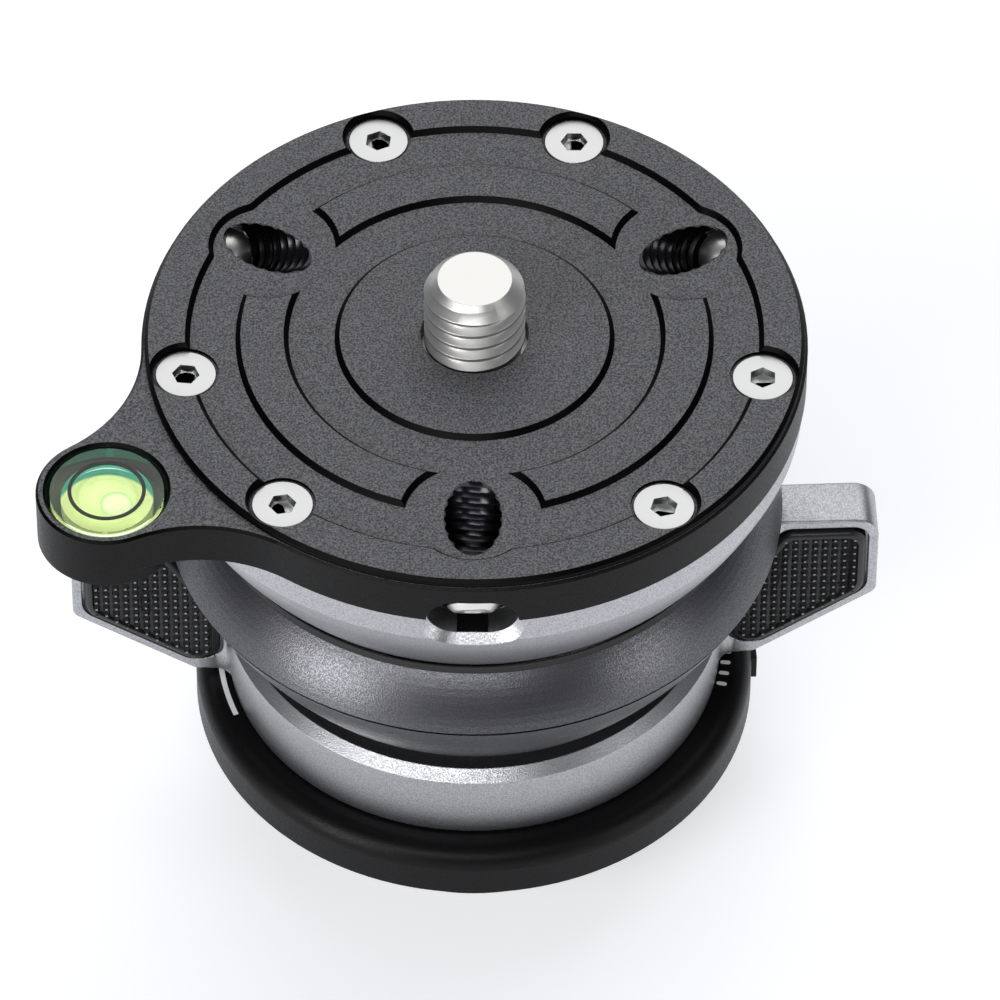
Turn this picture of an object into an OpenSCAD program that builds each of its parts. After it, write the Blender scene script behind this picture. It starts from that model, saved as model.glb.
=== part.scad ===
// Leveling base: a half ball under a round platform sits in a cup, and a winged ring below the cup locks it.
// The origin is the centre of the boss's bottom face, +Z is up and the front faces -Y.
// Parts are drawn level and locked, in millimetres.

/* [Base] */
// Radius of the boss below the flange
boss_r = 19; // [16:0.5:22]
// Height of the boss
boss_h = 10.4; // [10:0.1:14]
// Radius of the flange
flange_r = 27.1; // [26:0.05:30]
// Thickness of the flange
flange_t = 5.2; // [4.5:0.1:8]
// Radius of the flange's rounded upper edge
flange_round = 2; // [0.5:0.1:3]
// Radius of the hub that carries the cup
hub_r = 12.5; // [12:0.1:14]
// Radius of the tapped hole in the boss
foot_thread_r = 3.97; // [3:0.01:4.5]
// Outer radius of the threaded insert
insert_r = 6.4; // [5.5:0.1:8]
// Depth of the threaded insert
insert_h = 9.5; // [7:0.1:9.8]

/* [Lever] */
// Radius of the lever ring at its bottom edge
ring_r = 23.95; // [23:0.05:26]
// Height of the lever ring
ring_h = 8.3; // [8:0.1:10]
// Thickness of the lever ring from its threaded bore to its bottom edge
ring_wall = 6.45; // [5.6:0.05:7.5]
// Distance from the axis to the end of a wing
wing_reach = 38.8; // [35:0.1:44]
// Height of a wing above the bottom of the lever ring
wing_h = 18.85; // [17:0.05:22]
// Thickness of a wing
wing_t = 5.1; // [4.5:0.1:7]
// Height of a wing's straight end
wing_end_h = 10.2; // [8:0.05:13]
// Distance from the lever ring to where a wing's underside starts to rise
wing_foot_out = 3.15; // [2:0.05:5]
// Width of the frame round a rubber pad
pad_frame = 1.2; // [0.8:0.05:1.6]
// Height of a pad above the wing's face
pad_proud = 0.5; // [0.2:0.1:1]
// Angle at which the locked lever stands
lever_rest = 2.8; // [-10:0.1:10]
// Angle between locked and free
lever_turn = 60; // [20:1:90]
// Lead of the lever's thread in one turn
thread_lead = 3; // [1:0.1:3]

/* [Cup] */
// Radius of the cup at its bottom edge
cup_foot_r = 23.5; // [22.5:0.1:25]
// Height of the collar's top above the ball's seat
mouth_rise = 1.4; // [1:0.1:2]
// Thickness of the cup's floor
floor_t = 3.6; // [3.2:0.1:6]
// Height of the black neck between lever ring and cup
neck_t = 2.1; // [1.5:0.1:4]
// Distance from the lever ring's bottom edge in to the black neck
neck_in = 2.45; // [1.5:0.05:4.5]
// Height of the collar round the mouth
collar_h = 5; // [4.6:0.1:6.5]
// Width that the collar gains from top to bottom
collar_flare = 3.2; // [2.5:0.1:5]
// Distance from the ball's greatest circle in to the seat ring's outer radius
seat_in = 8; // [7.8:0.1:9]

/* [Ball] */
// Radius of the ball
ball_r = 33; // [32:0.1:36]
// Thickness of the ball's wall
ball_wall = 5.5; // [4.5:0.1:6.5]
// Height of the ball's centre above its flat top
flat_drop = 8.3; // [7:0.1:10]
// Half angle of the hole through the ball's bottom
hole_deg = 25.5; // [24.5:0.1:26.5]

/* [Platform] */
// Distance from the ball's greatest circle in to the side of the land
platform_in = 2; // [1.2:0.1:3]
// Thickness of the plate below the land
plate_t = 4.5; // [4.3:0.1:6]
// Height of the land above the plate
land_h = 0.8; // [0.4:0.1:1.2]
// Depth of the recess between rim and stud
recess_d = 0.48; // [0.3:0.02:0.6]
// Width of the rim at its foot
rim_w = 4.3; // [4:0.1:5.5]
// Radius of the disc round the stud at its foot
disc_r = 13.15; // [11:0.05:14]
// Width of the three arc pads at their foot
arc_w = 5; // [2:0.1:5.5]
// Width of the recess between rim and arc pads
arc_space = 4.25; // [3.5:0.05:5.5]
// Radius of the stud's thread
stud_r = 4.7625; // [3:0.0025:5]
// Height of the stud above the land
stud_h = 7.5; // [5:0.1:12]

/* [Vial] */
// Distance from the land's edge to the vial's axis
vial_out = 7.95; // [7.2:0.05:11]
// Direction of the vial in degrees
vial_at_deg = 209.5; // [200:0.5:220]
// Radius of the vial
vial_r = 5.3; // [4.8:0.1:5.6]
// Radius of the pocket that holds the vial
vial_pocket_r = 5.68; // [5.65:0.01:6]
// Radius of the lobe's round end
lobe_r = 6.6; // [6.4:0.1:8]
// Radius of the fillets between lobe and plate
lobe_fillet = 14.3; // [10:0.1:18]

/* [Grub screws] */
// Distance from the rim in to where a grub screw crosses the recess
grub_in = 4; // [3.2:0.1:4.2]
// Slope of a grub screw in degrees
grub_slope = 36; // [34:1:38]
// Radius of a grub screw
grub_r = 2.5; // [2:0.1:2.7]
// Length of a grub screw
grub_len = 5.2; // [3.5:0.1:5.5]
// Width of the pocket in the side
pocket_w = 8.6; // [7.5:0.1:11]
// Height of the pocket in the side
pocket_h = 5.7; // [5.3:0.1:6.5]

/* [Hidden] */
$fn = 96;

// Overrun of every cut
over = 1;
// Radial clearance of turned fits that move
run_gap = 0.08;
// Clearance between flat faces that move
face_gap = 0.1;
// Clearance between the domed faces
dome_gap = 0.2;
// Points on a rounded corner or a bulged side
corner_count = 8;

// Base details
boss_chamfer = 0.4;
washer_t = 0.5;
washer_seat = 0.3;
washer_in = 2.15;
washer_w = 1.6;
pilot_h = 1.2;
stop_in = 3.65;
stop_pin_r = 1;
stop_pin_in = 2.6;
stop_pin_out = 2.3;
stop_deg = 90;
tab_w = 3.5;
tab_h = 2.8;
tab_lift = 0.3;
tab_out = 0.5;
tab_deg = 4;
bolt_well_d = 3.1;

// Cup details
seam_w = 0.5;
seam_step = 0.2;
lip_w = 1.1;
cup_bulge = 0.3;
collar_bulge = 0.3;
cup_gap = 1;
seat_h = 3.3;
seat_land = 0.87;
neck_wall = 1.1;
wiper_h = 0.7;
wiper_top_w = 0.15;
cup_screw_count = 4;
cup_screw_at_r = 8.5;
cup_screw_r = 2;
cup_screw_head_r = 4;
cup_screw_len = 10;
cup_screw_sink = 0.1;

// Lever details
ring_lift = 0.29;
ring_chamfer = 1.05;
ring_chamfer_h = 1;
groove_d = 2.5;
groove_play = 0.25;
groove_end_play = 0.05;
wing_gap = 0.65;
wing_root = 2;
wing_fillet = 2;
wing_fillet_bite = 0.05;
wing_lift = 0.15;
wing_top_round = 2.3;
wing_end_round = 1.2;
wing_tip_round = 0.3;
wing_foot_round = 1.6;
pad_depth = 1.2;
pad_gap = 0.3;
pad_bevel = 0.35;
pad_off_ring = 0.45;
pad_foot = 2;
pad_round = 1.6;
pad_end_round = 2.4;
pad_foot_share = 0.65;

// Clamp details
bolt_r = 4;
cross_pin_r = 2;
cross_pin_rise = 4.4;
cross_pin_short = 0.4;
draw_collar_h = 5.6;
slot_play = 0.15;
slot_end_play = 0.3;
slip_t = 0.8;
slip_side_w = 4.6;
slip_hole_in = 0.04;
shoe_in = 1.7;
shoe_h = 7.7;
shoe_floor = 3.8;
shoe_well_r = 8.2;
spring_count = 4;
spring_r = 7.6;
spring_bore_r = 4.2;
spring_t = 0.42;
spring_cone = 0.15;
spring_pitch = 0.6;
draw_washer_r = 7.8;
draw_washer_t = 1;
nut_flats_r = 6.5;
nut_t = 4;
bolt_end = 0.6;
bolt_chamfer = 0.6;

// Platform details
plate_step = 0.3;
land_bevel = 0.35;
arc_at = [90, 210, 330];
arc_gap_r = 6.4;
grub_relief_r = 5.15;
screw_in = 3.6;
screw_deg = 20;
screw_r = 1.5;
screw_play = 0.1;
screw_head_r = 2.85;
screw_head_rim = 0.2;
screw_sink = 0.65;
screw_len = 8;
screw_pocket_r = 3.1;
screw_pocket_bevel = 0.35;
stud_hole_r = 5.08;
stud_chamfer = 1.3;
stud_chamfer_h = 0.95;
stud_web_t = 2.1;
stud_flange_r = 7.5;
stud_flange_t = 1.6;
stud_flange_play = 0.1;
stud_nut_r = 8.6;
stud_nut_t = 1.5;
stud_nut_lift = 0.1;
stud_tail = 0.4;
stud_relief = 0.4;
hollow_side_w = 7.2;

// Vial details
lobe_boss_h = 1.45;
vial_floor_t = 0.7;
vial_base_t = 0.4;
vial_h = 4.65;
vial_cavity_r = 4.3;
vial_cavity_floor = 0.5;
vial_top_t = 0.9;
vial_dome_r = 14;
bubble_r = 1.5;
bubble_at = [0.9, -1.1];
mark_r = 3.45;
mark_w = 0.35;
mark_t = 0.1;

// Grub screw details
grub_play = 0.2;
grub_back = 3.5;
grub_tip_h = 1.4;
pocket_d = 4;
pocket_drop = 0.2;
pocket_flare = 1.2;
grub_front_deg = 270;
grub_right_deg = 30;
grub_left_deg = 150;
grub_ats = [grub_front_deg, grub_right_deg, grub_left_deg];

// Heights, from the bottom up
deck_z = boss_h + flange_t;
washer_z = deck_z - washer_seat;
ring_z = washer_z + washer_t + face_gap;
ring_top_z = ring_z + ring_h;
neck_z = ring_top_z + face_gap;
cup_z = neck_z + neck_t;
ball_z = cup_z + floor_t + ball_r;
plate_z = ball_z - flat_drop;
plate_top_z = plate_z + plate_t;
land_z = plate_top_z + land_h;
recess_z = land_z - recess_d;

// Radii that follow the lever ring
ring_bore_r = ring_r - ring_wall;
neck_r = ring_r - neck_in;
washer_in_r = ring_r - washer_in;
stop_at_r = ring_r - stop_in;

// Mouth of the cup, which follows the ball
seat_r = ball_r - seat_in;
seat_top_z = ball_z - sqrt(pow(ball_r + dome_gap, 2) - pow(seat_r - seat_land, 2));
seat_z = seat_top_z - seat_h;
cup_neck_top_z = seat_top_z + face_gap;
collar_top_z = cup_neck_top_z + mouth_rise;
mouth_z = collar_top_z + wiper_h;
collar_z = collar_top_z - collar_h;
cup_top_z = collar_z - seam_w;
cup_h = cup_top_z - cup_z;

// Radii that follow the ball
hollow_r = ball_r - ball_wall;
platform_r = ball_r - platform_in;
hollow_side_r = platform_r - hollow_side_w;
rim_in_r = platform_r - rim_w;
arc_out_r = rim_in_r - arc_space;
arc_in_r = arc_out_r - arc_w;
grub_at_r = rim_in_r - grub_in;
screw_at_r = platform_r - screw_in;
vial_at_r = platform_r + vial_out;
collar_top_r = ball_at(collar_top_z, 0) + lip_w;
collar_foot_r = collar_top_r + collar_flare;
cup_top_r = collar_foot_r - seam_step;
cup_bore_r = seat_r + run_gap;
cup_neck_r = cup_bore_r + neck_wall;
slip_r = hollow_side_r - slip_side_w;
slip_hole_r = hollow_r * sin(hole_deg) - slip_hole_in;
shoe_r = slip_r - shoe_in;
slip_out_r = hollow_r - dome_gap;
slip_in_r = slip_out_r - slip_t;
shoe_dome_r = slip_in_r - dome_gap;

// Clamp heights
cross_pin_z = deck_z + cross_pin_rise;
draw_lift = thread_lead * lever_turn / 360;
pilot_r = ring_bore_r - run_gap;
slot_r = cross_pin_r + slot_play;
well_z = insert_h + bolt_well_d;
shoe_z = ball_z - shoe_dome_r;
shoe_top_z = shoe_z + shoe_h;
spring_z = shoe_z + shoe_floor;
draw_washer_z = spring_z + spring_count * spring_pitch;
nut_z = draw_washer_z + draw_washer_t;
bolt_top_z = nut_z + nut_t + bolt_end;
bolt_z = well_z + bolt_r * 3 / 4;
neck_pilot_z = neck_z - (neck_z - cross_pin_z - draw_collar_h / 2 - draw_lift) * 4 / 5;

// Wing outline, in distance from the axis and height
wing_top_z = ring_z + wing_h;
wing_end_z = wing_top_z - wing_end_h;
wing_z = ring_z + wing_lift;
wing_foot_x = ring_r + wing_foot_out;
wing_slope = atan2(wing_end_z - wing_z, wing_reach - wing_foot_x);
wing_lean = atan2(cup_top_r - cup_foot_r, cup_h);

// Stud heights
stud_flange_top_z = land_z - stud_web_t;
stud_flange_z = stud_flange_top_z - stud_flange_t;
stud_nut_z = stud_flange_z - stud_nut_t;

// Vial heights
vial_floor_z = plate_z - lobe_boss_h + vial_floor_t;
vial_z = vial_floor_z + vial_base_t;
vial_top_z = vial_z + vial_h;
vial_dome_z = vial_top_z - vial_top_t - vial_dome_r;

// Radius of the ball at a height, grown by a gap
function ball_at(z, gap) = sqrt(pow(ball_r + gap, 2) - pow(ball_z - z, 2));

// Radius of the cup's straight side at a height
function cup_at(z) = cup_foot_r + (z - cup_z) * tan(wing_lean);

// Vector of length one
function unit(v) = v / norm(v);

// Points of the arc that rounds corner p between its neighbours a and b
function round_corner(a, p, b, r) =
  let (u = unit(a - p))
  let (v = unit(b - p))
  let (half = acos(u * v) / 2)
  let (c = p + unit(u + v) * r / sin(half))
  let (s = p + u * r / tan(half) - c)
  let (e = p + v * r / tan(half) - c)
  let (start = atan2(s.y, s.x))
  let (sweep = (atan2(e.y, e.x) - start + 540) % 360 - 180)
  [for (i = [0:corner_count]) c + r * [cos(start + sweep * i / corner_count), sin(start + sweep * i / corner_count)]];

// Outline with each corner rounded by its own radius
function rounded(points, radii) =
  let (n = len(points))
  [for (i = [0:n - 1]) each radii[i] == 0 ? [points[i]]
    : round_corner(points[(i + n - 1) % n], points[i], points[(i + 1) % n], radii[i])];

// Points from p to q along a side that bulges to its right by h
function bulged(p, q, h) =
  let (d = unit(q - p))
  [for (i = [0:corner_count]) let (t = i / corner_count) p + t * (q - p) + 4 * h * t * (1 - t) * [d.y, -d.x]];

// Outline of a ring in radius and height
module band(r_in, r_out, z, h) {
  translate([r_in, z])
    square([r_out - r_in, h]);
}

// Flat ring
module ring(r_in, r_out, z, h) {
  rotate_extrude()
    band(r_in, r_out, z, h);
}

// Outline with two round ends, long along Y
module stadium(w, h) {
  square([h, w - h], center = true);
  for (s = [-1, 1])
    translate([0, s * (w - h) / 2])
      circle(d = h);
}

// Countersunk screw pointing down, with its head's flat at z = 0
module sunk_screw(r, head_r, rim, length) {
  translate([0, 0, -rim])
    cylinder(r = head_r, h = rim);
  translate([0, 0, -rim - head_r + r])
    cylinder(r1 = r, r2 = head_r, h = head_r - r);
  translate([0, 0, -length])
    cylinder(r = r, h = length - rim - head_r + r);
}

// Places for the screws that hold the cup
module at_cup_screws() {
  for (i = [0:cup_screw_count - 1])
    rotate(45 + i * 360 / cup_screw_count)
      translate([cup_screw_at_r, 0, cup_z + floor_t - cup_screw_sink])
        children();
}

// Axes of the screws that hold the platform
module at_screw_axes() {
  for (a = arc_at)
    for (s = [-1, 1])
      rotate(a + s * screw_deg)
        translate([screw_at_r, 0, 0])
          children();
}

// Places for the screws that hold the platform, at their heads
module at_plate_screws() {
  at_screw_axes()
    translate([0, 0, land_z - screw_sink])
      children();
}

// Axis of the grub screw at one angle, +Z the way it is driven, zero at the recess
module at_grub(at) {
  rotate(at)
    translate([grub_at_r, 0, recess_z])
      rotate([0, grub_slope - 90, 0])
        children();
}

// Hole for a grub screw
module grub_hole(at) {
  at_grub(at)
    translate([0, 0, -grub_back - grub_len])
      cylinder(r = grub_r + grub_play, h = grub_back + 2 * grub_len);
}

// Pocket in the side that gives room to turn a grub screw
module grub_pocket(at) {
  rotate(at)
    translate([platform_r - pocket_d, 0, plate_z - pocket_drop])
      rotate([0, 90, 0])
        linear_extrude(pocket_d + over)
          stadium(pocket_w, pocket_h);
}

// Flare of that pocket on the ball
module grub_pocket_flare(at) {
  flare_h = pocket_flare + over;
  half_h = pocket_h / 2;
  rotate(at)
    translate([platform_r - pocket_flare, 0, plate_z - pocket_drop]) {
      for (s = [-1, 1])
        translate([0, s * (pocket_w - pocket_h) / 2, 0])
          rotate([0, 90, 0])
            cylinder(r1 = half_h, r2 = half_h + flare_h, h = flare_h);
      rotate([90, 0, 0])
        linear_extrude(pocket_w - pocket_h, center = true)
          polygon([[0, -half_h], [flare_h, -half_h - flare_h], [flare_h, half_h + flare_h], [0, half_h]]);
    }
}

// Flange, boss and hub
module base_body() {
  color("#1c1c1e")
    difference() {
      union() {
        rotate_extrude() {
          polygon([
            [0, 0],
            [boss_r - boss_chamfer, 0],
            [boss_r, boss_chamfer],
            [boss_r, boss_h],
            [flange_r, boss_h],
            [flange_r, deck_z - flange_round],
            [flange_r - flange_round, deck_z - flange_round],
            [flange_r - flange_round, deck_z],
            [pilot_r, deck_z],
            [pilot_r, deck_z + pilot_h],
            [hub_r, deck_z + pilot_h],
            [hub_r, cup_z],
            [0, cup_z]
          ]);
          translate([flange_r - flange_round, deck_z - flange_round])
            circle(r = flange_round);
        }
        rotate(tab_deg)
          translate([boss_r, -tab_w / 2, boss_h + tab_lift])
            cube([flange_r + tab_out - boss_r, tab_w, tab_h]);
      }
      translate([0, 0, -over])
        cylinder(r = insert_r, h = insert_h + over);
      translate([0, 0, well_z])
        cylinder(r = bolt_r + run_gap, h = cup_z);
      ring(washer_in_r, washer_in_r + washer_w, washer_z, washer_seat + over);
      rotate(stop_deg)
        translate([stop_at_r, 0, deck_z - stop_pin_in])
          cylinder(r = stop_pin_r, h = stop_pin_in + over);
      slot_cut();
      at_cup_screws()
        translate([0, 0, -cup_screw_len])
          cylinder(r = cup_screw_r, h = cup_screw_len);
    }
}

// Slot across the hub in which the cross pin rises
module slot_cut() {
  low = cross_pin_z + slot_play - slot_end_play;
  high = cross_pin_z + draw_lift - slot_play + slot_end_play;
  rotate([90, 0, 90])
    linear_extrude(2 * (hub_r + over), center = true)
      translate([0, (low + high) / 2])
        stadium(high - low + 2 * slot_r, 2 * slot_r);
}

// Steel insert with the tapped hole
module thread_insert() {
  color("#9a9a98")
    difference() {
      cylinder(r = insert_r, h = insert_h);
      translate([0, 0, -over])
        cylinder(r = foot_thread_r, h = insert_h + 2 * over);
    }
}

// Dowel that runs in the lever ring's groove
module stop_pin() {
  color("#b5b5b2")
    rotate(stop_deg)
      translate([stop_at_r, 0, deck_z - stop_pin_in])
        cylinder(r = stop_pin_r, h = stop_pin_in + stop_pin_out);
}

// Plastic washer that the lever ring slides on
module thrust_washer() {
  color("#e4e1d6")
    ring(washer_in_r, washer_in_r + washer_w, washer_z, washer_t);
}

// Black neck that guides the lever ring from above
module bearing_ring() {
  color("#17171a") {
    ring(hub_r, neck_r, neck_z, neck_t);
    ring(hub_r, pilot_r, neck_pilot_z, neck_z - neck_pilot_z);
  }
}

// Cup that holds the ball
module cup() {
  color("#c8c8ca")
    difference() {
      rotate_extrude()
        polygon(concat(
          [[0, cup_z]],
          bulged([cup_foot_r, cup_z], [cup_top_r, cup_top_z], cup_bulge),
          [[cup_neck_r, cup_top_z], [cup_neck_r, cup_neck_top_z], [0, cup_neck_top_z]]
        ));
      translate([0, 0, seat_z - face_gap])
        cylinder(r = cup_bore_r, h = cup_h);
      intersection() {
        translate([0, 0, ball_z])
          sphere(r = ball_r + cup_gap);
        translate([0, 0, cup_z + floor_t])
          cylinder(r = cup_bore_r, h = cup_h);
      }
      translate([0, 0, cup_z - over])
        cylinder(r = bolt_r + slot_end_play, h = cup_h);
      at_cup_screws() {
        sunk_screw(cup_screw_r, cup_screw_head_r, cup_screw_sink, cup_screw_len);
        cylinder(r = cup_screw_head_r, h = over);
      }
    }
}

// Screws that hold the cup on the hub
module cup_screws() {
  color("#8f8f8d")
    at_cup_screws()
      sunk_screw(cup_screw_r, cup_screw_head_r, cup_screw_sink, cup_screw_len);
}

// Collar screwed round the cup's mouth
module cup_collar() {
  color("#bcbcbe")
    difference() {
      rotate_extrude()
        polygon(concat(
          [[cup_neck_r, collar_z]],
          bulged([collar_foot_r, collar_z], [collar_top_r, collar_top_z], collar_bulge),
          [[seat_r - seat_land, collar_top_z], [seat_r - seat_land, cup_neck_top_z], [cup_neck_r, cup_neck_top_z]]
        ));
      translate([0, 0, ball_z])
        sphere(r = ball_r + dome_gap + face_gap);
    }
}

// Wiper ring on top of the collar
module wiper_ring() {
  color("#101012")
    rotate_extrude()
      polygon([
        [ball_at(collar_top_z, dome_gap), collar_top_z],
        [collar_top_r, collar_top_z],
        [ball_at(mouth_z, dome_gap) + wiper_top_w, mouth_z],
        [ball_at(mouth_z, dome_gap), mouth_z]
      ]);
}

// Plastic ring that the ball turns on
module seat_ring() {
  color("#e9e6da")
    difference() {
      ring(hollow_side_r - 2 * seat_h, seat_r, seat_z, seat_h);
      translate([0, 0, ball_z])
        sphere(r = ball_r + dome_gap);
    }
}

// Distance from the axis to the wing's inner edge at a height
function wing_in(z) = cup_at(z) + wing_gap;

// Height of the wing's sloping underside at a distance from the axis
function wing_under(x) = wing_end_z - (wing_reach - x) * tan(wing_slope);

// Outline of a wing
function wing_points() =
  rounded([
    [ring_r - wing_root, wing_z],
    [wing_foot_x, wing_z],
    [wing_reach, wing_end_z],
    [wing_reach, wing_top_z],
    [wing_in(wing_top_z), wing_top_z],
    [wing_in(ring_top_z), ring_top_z],
    [ring_r - wing_root, ring_top_z - ring_chamfer_h]
  ], [0, wing_foot_round, wing_end_round, wing_top_round, wing_tip_round, 0, 0]);

// Outline of a rubber pad, drawn in from the wing's edges by a frame, with an upright inner side where there is room
function pad_points(frame) =
  let (x0 = ring_r + ring_lift + pad_off_ring + frame - pad_frame)
  let (x1 = wing_reach - frame)
  let (z0 = ring_z + pad_foot + frame - pad_frame)
  let (z1 = wing_top_z - frame)
  let (rise = frame / cos(wing_slope))
  let (side = frame / cos(wing_lean))
  let (foot_x = wing_reach - (wing_end_z + rise - z0) / tan(wing_slope))
  let (knee_z = cup_z + (x0 - side - wing_gap - cup_foot_r) / tan(wing_lean))
  let (foot_round = pad_foot_share * (foot_x - x0))
  let (end = [[foot_x, z0], [x1, wing_under(x1) + rise], [x1, z1], [wing_in(z1) + side, z1]])
  let (end_rounds = [foot_round, pad_end_round, pad_round, pad_round])
  knee_z > z0 + foot_round + pad_round
    ? rounded(concat([[x0, z0]], end, [[x0, knee_z]]), concat([foot_round], end_rounds, [pad_round]))
    : rounded(concat([[wing_in(z0) + side, z0]], end), concat([foot_round], end_rounds));

// Blade of a wing with its fillets into the ring
module wing() {
  out_r = ring_r + wing_fillet;
  root_r = ring_r - wing_root;
  c = [sqrt(pow(out_r, 2) - pow(wing_t / 2 + wing_fillet, 2)), wing_t / 2 + wing_fillet];
  rotate([90, 0, 0])
    linear_extrude(wing_t, center = true)
      polygon(wing_points());
  for (s = [0, 1])
    mirror([0, s, 0])
      translate([0, 0, ring_z + 2 * wing_lift])
        linear_extrude(ring_h - ring_chamfer_h * 3 / 2 - 2 * wing_lift)
          difference() {
            polygon([[root_r, 0], [c.x, 0], c, unit(c) * root_r]);
            translate(c)
              circle(r = wing_fillet + wing_fillet_bite);
          }
}

// Places a pad's own frame on one face of one wing: side 0 right, 180 left; face 1 front, -1 back
module on_wing(side, face) {
  rotate(lever_rest + side)
    scale([1, face, 1])
      translate([0, -wing_t / 2 + pad_depth, 0])
        rotate([90, 0, 0])
          children();
}

// Winged ring
module lever_ring() {
  color("#cbcbcd")
    difference() {
      union() {
        rotate_extrude()
          polygon([
            [ring_bore_r, ring_z],
            [ring_r, ring_z],
            [ring_r + ring_lift, ring_top_z - ring_chamfer_h],
            [ring_r + ring_lift - ring_chamfer, ring_top_z],
            [ring_bore_r, ring_top_z]
          ]);
        for (side = [0, 180])
          rotate(lever_rest + side)
            wing();
      }
      stop_groove();
      for (side = [0, 180])
        for (face = [-1, 1])
          on_wing(side, face)
            linear_extrude(wing_t)
              polygon(pad_points(pad_frame - pad_gap));
    }
}

// Arc groove under the ring that stops on the dowel
module stop_groove() {
  half_w = stop_pin_r + groove_play;
  translate([0, 0, ring_z - over]) {
    rotate(stop_deg - lever_turn)
      rotate_extrude(angle = lever_turn)
        band(stop_at_r - half_w, stop_at_r + half_w, 0, groove_d + over);
    for (a = [stop_deg - lever_turn, stop_deg])
      rotate(a)
        translate([stop_at_r, 0, 0])
          cylinder(r = half_w + groove_end_play, h = groove_d + over);
  }
}

// Rubber pad with a bevelled face
module pad(side, face) {
  color("#26262a")
    on_wing(side, face)
      hull() {
        linear_extrude(pad_depth + pad_proud - pad_bevel)
          polygon(pad_points(pad_frame));
        linear_extrude(pad_depth + pad_proud)
          polygon(pad_points(pad_frame + pad_bevel));
      }
}

// Collar that the lever ring's thread lifts and lowers
module draw_collar() {
  color("#b8a24e")
    difference() {
      ring(hub_r + run_gap, pilot_r, cross_pin_z - draw_collar_h / 2, draw_collar_h);
      cross_hole();
    }
}

// Hole along the cross pin
module cross_hole() {
  translate([0, 0, cross_pin_z])
    rotate([0, 90, 0])
      cylinder(r = cross_pin_r, h = 2 * ring_bore_r, center = true);
}

// Pin that joins collar and bolt through the hub's slots
module cross_pin() {
  color("#b5b5b2")
    translate([0, 0, cross_pin_z])
      rotate([0, 90, 0])
        cylinder(r = cross_pin_r, h = 2 * (pilot_r - cross_pin_short), center = true);
}

// Bolt that draws the shoe down
module draw_bolt() {
  color("#a9a9a6")
    difference() {
      union() {
        translate([0, 0, bolt_z])
          cylinder(r = bolt_r, h = bolt_top_z - bolt_chamfer - bolt_z);
        translate([0, 0, bolt_top_z - bolt_chamfer])
          cylinder(r1 = bolt_r, r2 = bolt_r - bolt_chamfer, h = bolt_chamfer);
      }
      cross_hole();
    }
}

// Domed shoe that presses the ball down
module shoe() {
  color("#9fa0a2")
    difference() {
      intersection() {
        translate([0, 0, ball_z])
          sphere(r = shoe_dome_r);
        translate([0, 0, shoe_z])
          cylinder(r = shoe_r, h = shoe_h);
      }
      translate([0, 0, spring_z])
        cylinder(r = shoe_well_r, h = shoe_h);
      translate([0, 0, shoe_z - over])
        cylinder(r = bolt_r + run_gap, h = shoe_h);
    }
}

// Disc springs, stacked face to face in pairs
module disc_springs() {
  color("#8d8d8b")
    for (i = [0:spring_count - 1])
      translate([0, 0, spring_z + i * spring_pitch])
        rotate_extrude()
          polygon([
            [spring_bore_r, i % 2 * spring_cone],
            [spring_r, (1 - i % 2) * spring_cone],
            [spring_r, (1 - i % 2) * spring_cone + spring_t],
            [spring_bore_r, i % 2 * spring_cone + spring_t]
          ]);
}

// Washer under the nut
module draw_washer() {
  color("#b0b0ad")
    ring(spring_bore_r, draw_washer_r, draw_washer_z, draw_washer_t);
}

// Nut on the draw bolt
module draw_nut() {
  color("#b0b0ad")
    translate([0, 0, nut_z])
      difference() {
        cylinder(r = nut_flats_r / cos(30), h = nut_t, $fn = 6);
        translate([0, 0, -over])
          cylinder(r = bolt_r, h = nut_t + 2 * over);
      }
}

// Bronze dome between shoe and ball
module slip_washer() {
  color("#b08d57")
    difference() {
      intersection() {
        translate([0, 0, ball_z])
          sphere(r = slip_out_r);
        translate([0, 0, ball_z - slip_out_r])
          cylinder(r = slip_r, h = slip_out_r / 2);
      }
      translate([0, 0, ball_z])
        sphere(r = slip_in_r);
      translate([0, 0, ball_z - slip_out_r - over])
        cylinder(r = slip_hole_r, h = slip_out_r);
    }
}

// Half ball
module ball() {
  reach = ball_r + over;
  color("#c4c4c6")
    difference() {
      intersection() {
        translate([0, 0, ball_z])
          sphere(r = ball_r);
        translate([0, 0, cup_z])
          cylinder(r = platform_r, h = plate_z - cup_z);
      }
      intersection() {
        translate([0, 0, ball_z])
          sphere(r = hollow_r);
        translate([0, 0, cup_z])
          cylinder(r = hollow_side_r, h = ball_z - cup_z);
      }
      translate([0, 0, ball_z - reach])
        cylinder(r1 = reach * tan(hole_deg), r2 = 0, h = reach);
      at_plate_screws()
        translate([0, 0, -screw_len])
          cylinder(r = screw_r, h = screw_len);
      for (at = grub_ats) {
        grub_hole(at);
        grub_pocket(at);
        grub_pocket_flare(at);
      }
    }
}

// Outline of the plate with its lobe
module plate_outline() {
  edge_r = platform_r + plate_step;
  near = edge_r + lobe_fillet;
  far = lobe_r + lobe_fillet;
  swing = acos((pow(near, 2) + pow(vial_at_r, 2) - pow(far, 2)) / (2 * near * vial_at_r));
  circle(r = edge_r);
  rotate(vial_at_deg) {
    translate([vial_at_r, 0])
      circle(r = lobe_r);
    difference() {
      polygon([[0, 0], near * [cos(swing), -sin(swing)], [vial_at_r, 0], near * [cos(swing), sin(swing)]]);
      for (s = [-1, 1])
        translate(near * [cos(swing), s * sin(swing)])
          circle(r = lobe_fillet);
    }
  }
}

// Cone that widens upward by as much as it is high, from below a height to above the land
module flared(r, z) {
  rise = land_z + over - z;
  translate([0, 0, z - over])
    cylinder(r1 = r - over, r2 = r + rise, h = rise + over);
}

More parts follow.
